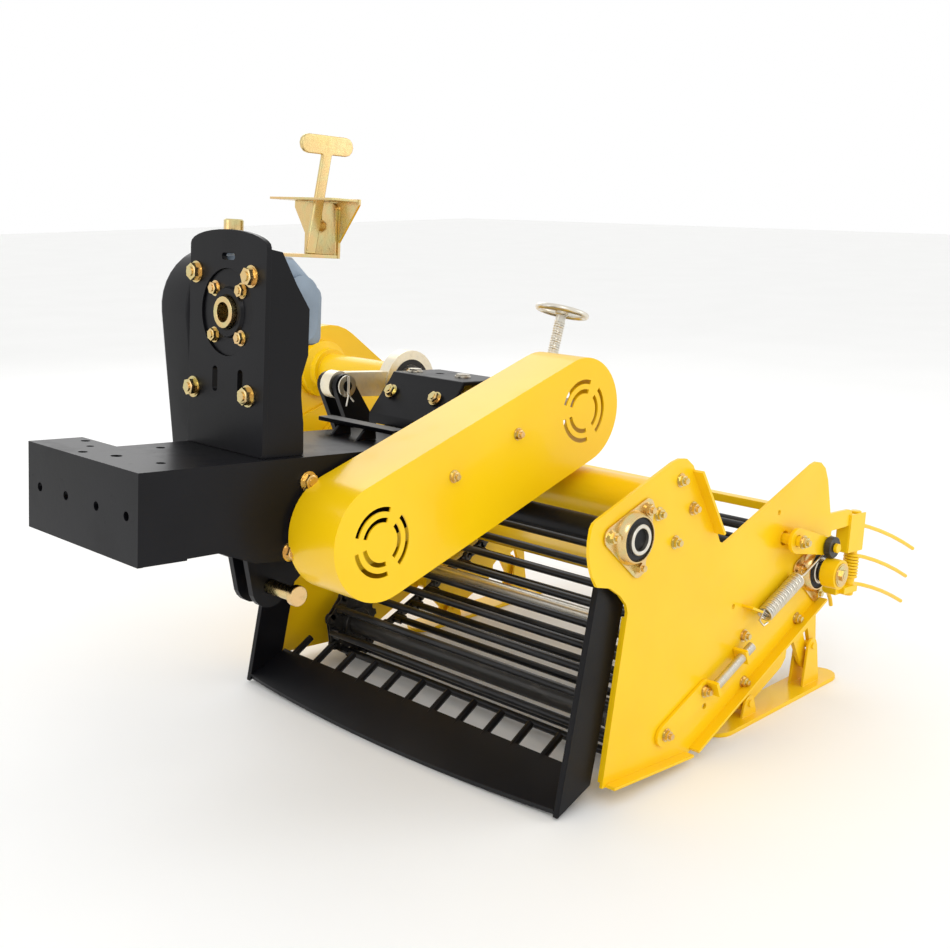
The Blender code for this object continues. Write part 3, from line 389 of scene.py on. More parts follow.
def tube(name, points, r, steps=10, closed=False):
    """A round bar that follows points, with its ends closed."""
    bm = bmesh.new()
    points = [Vector(p) for p in points]
    n = len(points)
    up = Vector((0.13, 0.99, 0.07)).normalized()
    rings = []
    for i, point in enumerate(points):
        before = points[i - 1] if closed or i else points[0]
        after = points[(i + 1) % n] if closed or i < n - 1 else points[-1]
        along = (after - before).normalized()
        across = (up - along * up.dot(along)).normalized()
        other = along.cross(across)
        up = across
        rings.append([bm.verts.new(point + r * (across * cos(a) + other * sin(a)))
                      for a in (2 * pi * k / steps for k in range(steps))])
    for i in range(n if closed else n - 1):
        a, b = rings[i], rings[(i + 1) % n]
        for k in range(steps):
            bm.faces.new((a[k], a[(k + 1) % steps], b[(k + 1) % steps], b[k]))
    if not closed:
        bm.faces.new(rings[0])
        bm.faces.new(rings[-1])
    return closed_body(name, bm)


def box(name, lo, hi):
    return prism(name, "Z", lo[2], hi[2], [(lo[0], lo[1]), (hi[0], lo[1]), (hi[0], hi[1]), (lo[0], hi[1])])


def bar(lo, hi, width=0.001):
    return softened(box("bar", lo, hi), width)


def boolean(base, others, operation):
    for other in others:
        step = base.modifiers.new("step", "BOOLEAN")
        step.operation, step.solver, step.object = operation, "EXACT", other
    bake(base)
    for other in others:
        bpy.data.objects.remove(other, do_unlink=True)
    return base


def fuse(base, *others):
    return boolean(base, others, "UNION")


def cut(base, *others):
    return boolean(base, others, "DIFFERENCE")


def join(base, *others):
    """Puts pieces that only touch into one mesh."""
    bm = bmesh.new()
    for piece in (base, *others):
        bm.from_mesh(piece.data)
    bm.to_mesh(base.data)
    bm.free()
    for other in others:
        bpy.data.objects.remove(other, do_unlink=True)
    return base


def softened(piece, width, segments=2, angle=35):
    """Rounds a piece's edges."""
    if width:
        bevel = piece.modifiers.new("edges", "BEVEL")
        bevel.width, bevel.segments = width, segments
        bevel.limit_method, bevel.angle_limit = "ANGLE", radians(angle)
        bevel.use_clamp_overlap = True
        bevel.miter_outer = "MITER_ARC"
        bake(piece)
    return piece


def polar(centre, r, heading):
    t = radians(heading)
    return (centre[0] + r * cos(t), centre[1] + r * sin(t))


def arc(centre, r, start, end, steps):
    return [polar(centre, r, start + (end - start) * i / steps) for i in range(steps + 1)]


def circle(centre, r, steps=28):
    return arc(centre, r, 0, 360, steps)[:-1]


def capsule(a, b, r_a, r_b=None, steps=16):
    r_b = r_a if r_b is None else r_b
    dx, dz = b[0] - a[0], b[1] - a[1]
    heading = degrees(atan2(dz, dx))
    lean = degrees(acos((r_a - r_b) / hypot(dx, dz)))
    return (arc(a, r_a, heading + lean, heading + 360 - lean, steps)
            + arc(b, r_b, heading - lean, heading + lean, steps))


def along_conveyor(s, offset=0.0):
    c, d = cos(SLOPE), sin(SLOPE)
    return (FRONT_AXIS[0] - s * c + offset * d, FRONT_AXIS[1] + s * d + offset * c)


def node_body(node):
    return next(body for body, nodes in frame["record"]["behaviour"]["bodies"].items() if node in nodes)


def dressed(node, finish, width, cutters=(), additions=()):
    """A copy of a CAD node with holes, additions and rounded edges, in its place."""
    source = frame["nodes"][node]
    bm = bmesh.new()
    bm.from_mesh(source.data)
    bmesh.ops.remove_doubles(bm, verts=bm.verts, dist=1e-6)
    bmesh.ops.dissolve_limit(bm, angle_limit=radians(0.6), verts=bm.verts, edges=bm.edges)
    piece = from_bmesh(node + "_finished", bm)
    if additions:
        fuse(piece, *additions)
    if cutters:
        cut(piece, *cutters)
    softened(piece, width)
    finished(piece, node_body(node), finish, 38 if width else 0)
    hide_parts(node)
    return piece


# ---- geometry node trees ----------------------------------------------------
class Nodes:
    """A geometry node tree with named inputs."""

    def __init__(self, name, sizes):
        self.tree = bpy.data.node_groups.new(name, "GeometryNodeTree")
        face = self.tree.interface
        face.new_socket("Geometry", in_out="OUTPUT", socket_type="NodeSocketGeometry")
        face.new_socket("Geometry", in_out="INPUT", socket_type="NodeSocketGeometry")
        self.sockets = {}
        for label, value in sizes.items():
            kind = "NodeSocketInt" if isinstance(value, int) else "NodeSocketFloat"
            socket = face.new_socket(label, in_out="INPUT", socket_type=kind)
            socket.default_value = value
            self.sockets[label] = socket.identifier
        socket = face.new_socket("Finish", in_out="INPUT", socket_type="NodeSocketMaterial")
        self.sockets["Finish"] = socket.identifier
        self.given = self.tree.nodes.new("NodeGroupInput")
        self.result = self.tree.nodes.new("NodeGroupOutput")

    def __getitem__(self, label):
        return Term(self.tree, self.given.outputs[label])

    def node(self, kind, settings=(), sockets=(), output=0):
        return add(self.tree, kind, dict(settings), dict(sockets), output)

    def moved(self, shape, shift=(0, 0, 0), turn=(0, 0, 0)):
        return self.node("GeometryNodeTransform", {}, {
            "Geometry": shape, "Translation": shift, "Rotation": turn})

    def vector(self, x=0.0, y=0.0, z=0.0):
        return self.node("ShaderNodeCombineXYZ", {}, {"X": x, "Y": y, "Z": z})

    def cylinder(self, r, depth, sides):
        return self.node("GeometryNodeMeshCylinder", {}, {"Vertices": sides, "Radius": r, "Depth": depth})

    def pillar(self, r, depth, sides, middle):
        return self.moved(self.cylinder(r, depth, sides), self.vector(z=middle))

    def joined(self, *shapes):
        node = self.tree.nodes.new("GeometryNodeJoinGeometry")
        for shape in reversed(shapes):
            self.tree.links.new(shape.socket, node.inputs[0])
        return Term(self.tree, node.outputs[0])

    def named(self, name, kind):
        return self.node("GeometryNodeInputNamedAttribute", {"data_type": kind}, {"Name": name})

    def block(self, size):
        return self.node("GeometryNodeMeshCube", {}, {"Size": size})

    def turning(self, **angles):
        return self.node("FunctionNodeEulerToRotation", {}, {"Euler": self.vector(**angles)})

    def copies(self, turn, *shapes, **sockets):
        """The shapes on every point, turned."""
        return self.finish(self.node("GeometryNodeInstanceOnPoints", {}, {
            "Points": self["Geometry"], "Instance": self.joined(*shapes), "Rotation": turn, **sockets}))

    def finish(self, shape):
        whole = self.node("GeometryNodeRealizeInstances", {}, {"Geometry": shape})
        done = self.node("GeometryNodeSetMaterial", {}, {"Geometry": whole, "Material": self["Finish"]})
        self.tree.links.new(done.socket, self.result.inputs[0])
        return self


def bolt_tree():
    """A flanged hexagon head with a domed middle on every point, facing its own way."""
    nodes = Nodes("bolts", {"Head Radius": 0.0092, "Head Height": 0.0066, "Flange Radius": 0.0115,
                            "Flange Height": 0.0016, "Stub Radius": 0.0052, "Stub Height": 0.0022})
    flange, head, stub = nodes["Flange Height"], nodes["Head Height"], nodes["Stub Height"]
    wide, across = nodes["Flange Radius"], nodes["Head Radius"]
    washer = nodes.pillar(wide, flange, 20, flange * 0.5)
    collar = nodes.pillar(wide * 0.86, head * 0.2, 20, flange + head * 0.08)
    nut = nodes.pillar(across, head, 6, flange + head * 0.5)
    end = nodes.pillar(nodes["Stub Radius"], stub, 14, flange + head + stub * 0.5)
    crown = nodes.node("GeometryNodeMeshCone", {}, {
        "Vertices": 20, "Radius Bottom": across * 0.86, "Radius Top": across * 0.66, "Depth": head * 0.12})
    crown = nodes.moved(crown, nodes.vector(z=flange + head * 0.999))
    aim = nodes.node("FunctionNodeAlignRotationToVector", {"axis": "Z"}, {
        "Vector": nodes.named("way", "FLOAT_VECTOR")})
    spun = nodes.node("FunctionNodeRotateRotation", {"rotation_space": "LOCAL"}, {
        "Rotation": aim, "Rotate By": nodes.turning(z=nodes.named("twist", "FLOAT"))})
    return nodes.copies(spun, washer, collar, nut, crown, end, Scale=nodes.named("size", "FLOAT"))


def link_tree():
    """A pair of chain side plates with their pins and roller, leaning with the chain."""
    nodes = Nodes("chain links", {"Pitch": CHAIN_PITCH, "Plate Radius": 0.0072, "Plate": 0.0016,
                                  "Gap": 0.0070, "Pin Radius": 0.0026, "Roller Radius": 0.0056})
    half, plate = nodes["Pitch"] * 0.5, nodes["Plate"]
    shapes = []
    for side in (1, -1):
        y = nodes["Gap"] * (0.5 * side)
        for end in (1, -1):
            disc = nodes.cylinder(nodes["Plate Radius"], plate, 16)
            shapes.append(nodes.moved(disc, nodes.vector(half * end, y), QUARTER))
        web = nodes.block(nodes.vector(nodes["Pitch"], plate, nodes["Plate Radius"] * 1.4))
        shapes.append(nodes.moved(web, nodes.vector(0.0, y)))
    pin = nodes.cylinder(nodes["Pin Radius"], 0.0138, 10)
    roller = nodes.cylinder(nodes["Roller Radius"], nodes["Gap"] - plate, 16)
    shapes += [nodes.moved(part, nodes.vector(half), QUARTER) for part in (pin, roller)]
    lean = nodes.turning(y=nodes.named("lean", "FLOAT"))
    return nodes.copies(lean, *shapes, Scale=nodes.named("size", "FLOAT_VECTOR"))


def bar_tree():
    """A round bar across every point, with a flattened end at each chain."""
    nodes = Nodes("conveyor bars", {"Bar Radius": 0.0055, "Reach": 2 * CHAIN_Y})
    reach = nodes["Reach"]
    shapes = [nodes.moved(nodes.cylinder(nodes["Bar Radius"], reach, 14), (0, 0, 0), QUARTER)]
    for side in (1, -1):
        flat = nodes.block((0.015, 0.020, 0.006))
        shapes.append(nodes.moved(flat, nodes.vector(0.0, reach * (0.5 * side) - 0.010 * side)))
    return nodes.copies(nodes.turning(y=nodes.named("lean", "FLOAT")), *shapes)


def coil_tree():
    """A wire wound round +Z: a spring, or the thread of a screw."""
    nodes = Nodes("coils", {"Turns": 12.0, "Coil Radius": 0.006, "Height": 0.05, "Wire": 0.001})
    path = nodes.node("GeometryNodeCurveSpiral", {}, {
        "Resolution": 16, "Rotations": nodes["Turns"], "Start Radius": nodes["Coil Radius"],
        "End Radius": nodes["Coil Radius"], "Height": nodes["Height"]})
    section = nodes.node("GeometryNodeCurvePrimitiveCircle", {}, {"Resolution": 8, "Radius": nodes["Wire"]})
    wire = nodes.node("GeometryNodeCurveToMesh", {}, {
        "Curve": path, "Profile Curve": section, "Fill Caps": True})
    return nodes.finish(wire)


TREES = {}


def grown(name, tree, finish, points=(), attributes=(), **sizes):
    """Runs a node tree on points and keeps the result as a plain mesh."""
    if tree not in TREES:
        TREES[tree] = tree()
    nodes = TREES[tree]
    mesh = bpy.data.meshes.new(name)
    mesh.from_pydata([tuple(p) for p in points] or [(0, 0, 0)], [], [])
    for label, kind, values in attributes:
        layer = mesh.attributes.new(label, kind, "POINT")
        for item, value in zip(layer.data, values):
            setattr(item, "vector" if kind == "FLOAT_VECTOR" else "value", value)
    piece = linked(name, mesh)
    step = piece.modifiers.new("grow", "NODES")
    step.node_group = nodes.tree
    step[nodes.sockets["Finish"]] = finishes()[finish]
    for label, value in sizes.items():
        step[nodes.sockets[label.replace("_", " ")]] = value
    return bake(piece)


def facing(axis, w, size, spots, way=1):
    """Places for bolts of one size on a face square to an axis."""
    return [(place(axis, u, v, w), place(axis, 0, 0, way), size) for u, v in spots]


def bolts(name, places, finish="gold", body="frame", **sizes):
    """Hexagon bolts: each place is a point, the way it faces and a size."""
    points, ways, scales = zip(*places)
    twists = [(0.37 * i) % 1.04 for i in range(len(places))]
    piece = grown(name, bolt_tree, finish, points, (
        ("way", "FLOAT_VECTOR", ways), ("twist", "FLOAT", twists), ("size", "FLOAT", scales)), **sizes)
    return settled(piece, finish, body=body)


def coil(name, start, end, finish, turns, r, wire):
    """A wire wound from start to end."""
    start = Vector(start)
    along = Vector(end) - start
    piece = grown(name, coil_tree, finish, Turns=float(turns), Coil_Radius=r, Height=along.length, Wire=wire)
    piece.data.transform(Matrix.Translation(start) @ along.to_track_quat("Z", "Y").to_matrix().to_4x4())
    return piece


# ---- sizes and colours ------------------------------------------------------
def enamel(name, description, default):
    return FloatVectorProperty(name=name, description=description, default=default, subtype="COLOR",
                               min=0, max=1)


def length(name, description, default, low, high):
    return FloatProperty(name=name, description=description, default=default, unit="LENGTH",
                         subtype="DISTANCE", min=low, max=high)


class DiggerPaint(bpy.types.PropertyGroup):
    yellow: enamel("Yellow", "Enamel of the plates and guards", (0.94, 0.60, 0.004))
    yellow_shade: enamel("Yellow, thick", "Where the yellow enamel is thick", (0.91, 0.55, 0.002))
    black: enamel("Black", "Enamel of the frame and share", (0.004, 0.004, 0.005))
    black_shade: enamel("Black, thick", "Where the black enamel is thick", (0.006, 0.006, 0.008))


class DiggerEdges(bpy.types.PropertyGroup):
    plate: length("Plate edge", "Rounding of plate edges", 0.0008, 0.0002, 0.002)
    cover: length("Cover edge", "Rounding of the pressed covers", 0.0045, 0.001, 0.006)
    fold: length("Frame fold", "Rounding of the folded frame", 0.0030, 0.001, 0.004)


class DiggerConveyor(bpy.types.PropertyGroup):
    bar: length("Bar radius", "Radius of the conveyor's bars", 0.0055, 0.004, 0.006)
    fingers: IntProperty(name="Rake tines", description="Tines along the rake", default=13, min=5, max=17)


# ---- pieces -----------------------------------------------------------------
class DIGGER_OT_share(bpy.types.Operator):
    """Share blade, its arms and the pivot tube with its rockers"""
    bl_idname = "digger.share"
    bl_label = "Share"

    def execute(self, context):
        edge = context.scene.digger_edges.plate
        for node in ("share_blade", "share_arm_left", "share_arm_right"):
            dressed(node, "black", edge * 1.2)
        dressed("pivot_tube", "black", edge)
        return {"FINISHED"}


class DIGGER_OT_plates(bpy.types.Operator):
    """Side plates, beams, skid carriers and the other flat yellow work"""
    bl_idname = "digger.plates"
    bl_label = "Plates and beams"

    def execute(self, context):
        edge = context.scene.digger_edges.plate
        for side, node in ((1, "side_plate_left"), (-1, "side_plate_right")):
            ends = sorted((side * (PLATE_IN - 0.01), side * (PLATE_OUT + 0.01)))
            spots = (((-0.2535, 0.084), 0.0040), ((-0.389, 0.316), 0.0035), ((-0.300, 0.205), 0.0035))
            dressed(node, "yellow", 0, [stood(drum("hole", spot, "Y", *ends, r, 20)) for spot, r in spots])
        for node in ("cross_beam", "screw_strap", "tie_flat", "far_housing", "skid_carrier_left",
                     "skid_carrier_right", "skid_left", "skid_right", "shaft_housing"):
            dressed(node, "yellow", edge)
        for node in ("tie_tube", "drive_shaft"):
            dressed(node, "zinc", edge)
        return {"FINISHED"}


class DIGGER_OT_frame(bpy.types.Operator):
    """Hitch frame with its bolt holes, the upright, the stop plate and the lugs"""
    bl_idname = "digger.frame"
    bl_label = "Hitch frame and upright"

    def execute(self, context):
        edges = context.scene.digger_edges
        front = (-0.083, -0.029, 0.031, 0.087)
        holes = [drum("hole", (y, 0.362), "X", 0.40, 0.45, 0.0048, 20) for y in front]
        for x, y, r in ((0.376, -0.083, 0.0050), (0.413, -0.022, 0.0050), (0.389, -0.050, 0.0040),
                        (0.396, 0.014, 0.0060), (0.380, 0.070, 0.0050), (0.330, -0.010, 0.0050)):
            holes.append(drum("hole", (x, y), "Z", 0.38, 0.43, r, 20))
        toe = box("toe", (0.372, 0.060, 0.3148), (0.424, 0.1065, 0.3182))
        dressed("hitch_frame", "black", edges.fold, [stood(hole) for hole in holes], [stood(toe)])
        self.upright(edges)
        dressed("stop_plate", "black", edges.plate)
        dressed("lower_lugs", "black", 0)
        dressed("beam_bracket", "black", edges.plate * 2,
                [stood(drum("hole", (-0.089, -0.024), "Z", 0.44, 0.49, 0.0055, 20))])
        dressed("lower_pin", "gold", edges.plate)
        return {"FINISHED"}

    def upright(self, edges):
        """Cuts the hub's window, the slots and the holes of the upright."""
        slots = [capsule((y, 0.472), (y, 0.490), 0.0045) for y in (0.012, 0.057)]
        slots.append(capsule((0.024, 0.6095), (0.040, 0.6095), 0.0035))
        cutters = [prism("window", "X", 0.272, 0.300, circle(HUB, 0.0455, 40))]
        cutters += [prism("slot", "X", 0.26, 0.30, slot) for slot in slots]
        dressed("upright", "black", edges.fold, [stood(cutter) for cutter in cutters])


class DIGGER_OT_covers(bpy.types.Operator):
    """The belt guard, the chain cover and the far guard, with their pressed edges"""
    bl_idname = "digger.covers"
    bl_label = "Covers"

    def execute(self, context):
        edges = context.scene.digger_edges
        self.guard(edges)
        dressed("chain_cover", "black", edges.cover * 1.3)
        dressed("far_guard", "yellow", edges.plate)
        return {"FINISHED"}

    def guard(self, edges):
        """The belt guard with a rolled edge and vent slots in two rings."""
        slots = []
        for centre in (JACK_AXIS, DRIVE_AXIS):
            for r in (0.0380, 0.0265):
                for start in (14, 134, 254):
                    outline = arc(centre, r, start, start + 92, 12)
                    outline += arc(centre, r - 0.0052, start + 92, start, 12)
                    slots.append(prism("slot", "Y", 0.17, 0.20, outline))
        outer, inner = (capsule(JACK_AXIS, DRIVE_AXIS, r, steps=28) for r in (0.064, 0.062))
        shell = prism("belt_guard_finished", "Y", 0.1131, GUARD_FACE, outer)
        softened(shell, edges.cover, 4, 60)
        cut(shell, prism("inner", "Y", 0.10, GUARD_FACE - 0.002, inner), *slots)
        settled(shell, "yellow", angle=38, node="belt_guard")


class DIGGER_OT_bearings(bpy.types.Operator):
    """Pressed flange bearings on the pivot and the conveyor's rear shaft"""
    bl_idname = "digger.bearings"
    bl_label = "Bearings"

    def execute(self, context):
        for node, (axis, face, way) in BEARINGS.items():
            self.bearing(node, axis, face, way)
        return {"FINISHED"}

    def bearing(self, node, axis, face, way):
        """A pressed triangle with a domed seat, an inner ring and a seal."""
        def round_part(name, steps, *profile):
            return turned(name, axis, "Y", [(r, face + way * w) for r, w in profile], steps)

        corners = []
        for heading in FLANGE_HEADINGS:
            corners += arc(polar(axis, FLANGE_BOLTS_R, heading), 0.0125, heading - 60, heading + 60, 8)
        faces = sorted((face, face + way * FLANGE_THICK))
        plate = prism("plate", "Y", *faces, corners, [circle(axis, 0.0262, 36)])
        dome = round_part("dome", 56, (0.0250, 0.0003), (0.0315, 0.0003), (0.0318, 0.0030), (0.0305, 0.0060),
                          (0.0292, 0.0095), (0.0272, 0.0118), (0.0255, 0.0122), (0.0250, 0.0110))
        pressed = join(softened(plate, 0.0006), dome)
        pressed.name = node + "_pressing"
        settled(pressed, "gold", node=node)
        ring = round_part(node + "_ring", 48, (0.0131, 0.0005), (0.0175, 0.0005), (0.0178, 0.0140),
                          (0.0168, 0.0150), (0.0140, 0.0150), (0.0131, 0.0142))
        settled(ring, "zinc", node=node)
        seal = round_part(node + "_seal", 48, (0.0179, 0.0010), (0.0249, 0.0010), (0.0249, 0.0096),
                          (0.0232, 0.0102), (0.0196, 0.0096), (0.0179, 0.0100))
        settled(seal, "seal", node=node)


def loop_place(s):
    """The place and lean of the chain's pitch line at s metres round the loop."""
    s = s % (LINKS * CHAIN_PITCH)
    if s < RUN:
        return (*along_conveyor(s, WHEEL_R), SLOPE + pi)
    s -= RUN
    turn = pi * WHEEL_R
    if s < turn:
        angle = pi / 2 - SLOPE + s / WHEEL_R
        return (REAR_AXIS[0] + WHEEL_R * cos(angle), REAR_AXIS[1] + WHEEL_R * sin(angle),
                SLOPE + pi - s / WHEEL_R)
    s -= turn
    if s < RUN:
        return (*along_conveyor(RUN - s, -WHEEL_R), SLOPE)
    s -= RUN
    angle = 3 * pi / 2 - SLOPE + s / WHEEL_R
    return (FRONT_AXIS[0] + WHEEL_R * cos(angle), FRONT_AXIS[1] + WHEEL_R * sin(angle),
            SLOPE - s / WHEEL_R)


class DIGGER_OT_conveyor(bpy.types.Operator):
    """The conveyor's two chains and its bars, and the toothed wheels on its shafts"""
    bl_idname = "digger.conveyor"
    bl_label = "Conveyor"

    def execute(self, context):
        sizes = context.scene.digger_conveyor
        middles = [loop_place((i + 0.5) * CHAIN_PITCH) for i in range(LINKS)]
        leans = [lean for x, z, lean in middles]
        spots = [(x, 0.0, z) for x, z, lean in middles]
        bars = grown("conveyor_bars", bar_tree, "bars", spots, (("lean", "FLOAT", leans),),
                     Bar_Radius=sizes.bar)
        settled(bars, "bars", node="conveyor_web")
        points = [(x, side * CHAIN_Y, z) for side in (1, -1) for x, z, lean in middles]
        scales = [(1.0, 1.0 if i % 2 else 0.66, 1.0) for i in range(LINKS)] * 2
        chain = grown("conveyor_chains", link_tree, "oiled", points, (
            ("lean", "FLOAT", leans * 2), ("size", "FLOAT_VECTOR", scales)))
        settled(chain, "oiled", node="conveyor_web")
        self.shaft("front_shaft", FRONT_AXIS, (-0.3037, 0.3037), 0.016)
        self.shaft("rear_shaft", REAR_AXIS, (-0.352, 0.352), 0.0155)
        return {"FINISHED"}

    def shaft(self, node, axis, ends, r):
        """A shaft with a toothed wheel inside each chain."""
        inner = CHAIN_Y - 0.007
        profile = [(0, ends[0]), (0.0115, ends[0]), (0.0125, ends[0] + 0.001), (0.0125, -inner), (r, -inner),
                   (r, inner), (0.0125, inner), (0.0125, ends[1] - 0.001), (0.0115, ends[1]), (0, ends[1])]
        pieces = [turned(node + "_finished", axis, "Y", profile, 40)]
        for side in (1, -1):
            middle = side * CHAIN_Y
            pieces.append(prism("wheel", "Y", middle - 0.0026, middle + 0.0026, self.teeth(axis)))
            pieces.append(drum("boss", axis, "Y", middle - 0.011, middle + 0.011, 0.024, 32, 0.001))
        settled(join(*pieces), "oiled", node=node)

    def teeth(self, axis):
        """The outline of a chain wheel with a hollow for every roller."""
        outline = []
        for i in range(TEETH * 2):
            heading = degrees(2 * pi * i / (TEETH * 2)) - degrees(SLOPE)
            outline += arc(polar(axis, WHEEL_R, heading), 0.0060, heading + 255, heading + 105, 6)
        return outline


class DIGGER_OT_gearbox(bpy.types.Operator):
    """The cast gearbox with its hub, side cover and plugs"""
    bl_idname = "digger.gearbox"
    bl_label = "Gearbox"

    def execute(self, context):
        rib = box("rib", (0.244, -0.0200, 0.6110), (0.262, 0.016, 0.6136))
        flange = capsule((0.2290, 0.572), (0.2290, 0.546), 0.022, steps=14)
        ledge = prism("ledge", "Y", 0.0875, 0.0925, flange)
        dressed("gearbox", "grey", 0.0012, (), [stood(rib), stood(ledge)])
        dressed("input_hub", "gold", 0.0006)
        face = turned("hub_flange", HUB, "X", [
            (0.0168, 0.2732), (0.0450, 0.2732), (0.0450, 0.2764), (0.0270, 0.2764), (0.0250, 0.2795),
            (0.0190, 0.2795), (0.0168, 0.2780)], 56)
        settled(face, "black")
        plug = turned("breather_plug", (0.2520, 0.002), "Z", [
            (0, 0.6125), (0.0105, 0.6125), (0.0105, 0.6220), (0.0075, 0.6225), (0.0075, 0.6355),
            (0.0105, 0.6360), (0.0105, 0.6465), (0.0090, 0.6480), (0, 0.6480)], 32)
        settled(plug, "gold")
        return {"FINISHED"}


class DIGGER_OT_controls(bpy.types.Operator):
    """The gear lever in its gate, and the depth screw's handwheel"""
    bl_idname = "digger.controls"
    bl_label = "Lever and handwheel"

    def execute(self, context):
        edge = context.scene.digger_edges.plate
        dressed("shift_bracket", "gold", edge)
        slot = capsule((0.046, 0.642), (0.046, 0.656), 0.003, steps=8)
        corners = arc((0.028, 0.6625), 0.008, 180, 90, 6) + arc((0.064, 0.6625), 0.008, 90, 0, 6)
        outline = [(0.072, 0.6160), (0.020, 0.6160), *corners]
        guide = prism("lever_guide", "X", 0.1682, 0.1712, outline, [slot])
        settled(softened(guide, edge), "gold", angle=38)
        bolts("guide_bolt", facing("X", 0.1712, 0.62, [(0.046, 0.646)]))
        dressed("shift_lever", "gold", edge * 1.5)
        self.handwheel()
        return {"FINISHED"}

    def handwheel(self):
        """A spoked rim on a threaded screw, turned back to lean with the screw."""
        rim_r, rim_steps = 0.0335, 56
        around = [2 * pi * k / rim_steps for k in range(rim_steps)]
        circuit = [(rim_r * cos(a), rim_r * sin(a), 0.001) for a in around]
        parts = [tube("handwheel_finished", circuit, 0.0042, 12, True)]
        for k in range(3):
            heading = radians(90 + 120 * k)
            c, d = cos(heading), sin(heading)
            spoke = [(r * c, r * d, z) for r, z in ((0.006, 0.003), (0.018, 0.0025), (rim_r, 0.001))]
            parts.append(tube("spoke", spoke, 0.0032, 10))
        parts.append(turned("hub", (0, 0), "Z", [
            (0, -0.004), (0.0085, -0.004), (0.0095, -0.003), (0.0095, 0.004), (0.0062, 0.005),
            (0.0062, 0.0078), (0, 0.0078)], 32))
        parts.append(drum("screw", (0, 0), "Z", -0.2245, -0.003, 0.0069, 24, 0.0008))
        thread = coil("thread", (0, 0, -0.222), (0, 0, -0.012), "zinc", 62, 0.0068, 0.0010)
        wheel = join(*parts, thread)
        lean = Matrix.Rotation(-radians(14), 4, "Y")
        wheel.data.transform(Matrix.Translation((-0.293, 0.0, 0.551)) @ lean)
        settled(wheel, "zinc", body="depth_screw", node="handwheel")


class DIGGER_OT_rod(bpy.types.Operator):
    """The connecting rod with the bearing in its eye, and its pin's washer and split pin"""
    bl_idname = "digger.rod"
    bl_label = "Connecting rod"

    def execute(self, context):
        dressed("con_rod", "satin", 0.0010)
        seal = turned("rod_seal", DRIVE_AXIS, "Y", [
            (0.0245, -0.1161), (0.0320, -0.1161), (0.0315, -0.1148), (0.0250, -0.1148)], 48)
        settled(seal, "seal", body="connecting_rod")
        race = washer("rod_race", DRIVE_AXIS, 0.0207, 0.0244, -0.1165, -0.1142, 48)
        settled(race, "oiled", body="connecting_rod")
        end = -0.1023
        settled(washer("rod_washer", ROD_PIN, 0.0072, 0.0140, end, end + 0.0018, 32), "zinc", body="share")
        pin = [(0.000, end + 0.0045, 0.462), (0.000, end + 0.0045, 0.440), (0.003, end + 0.006, 0.432),
               (0.008, end + 0.010, 0.425)]
        leg = [(0.0018, end + 0.0045, 0.462), (0.0018, end + 0.0045, 0.440), (-0.005, end + 0.009, 0.430)]
        split = join(tube("split_pin", pin, 0.0011, 8), tube("leg", leg, 0.0011, 8))
        settled(split, "zinc", body="share", angle=40)
        return {"FINISHED"}


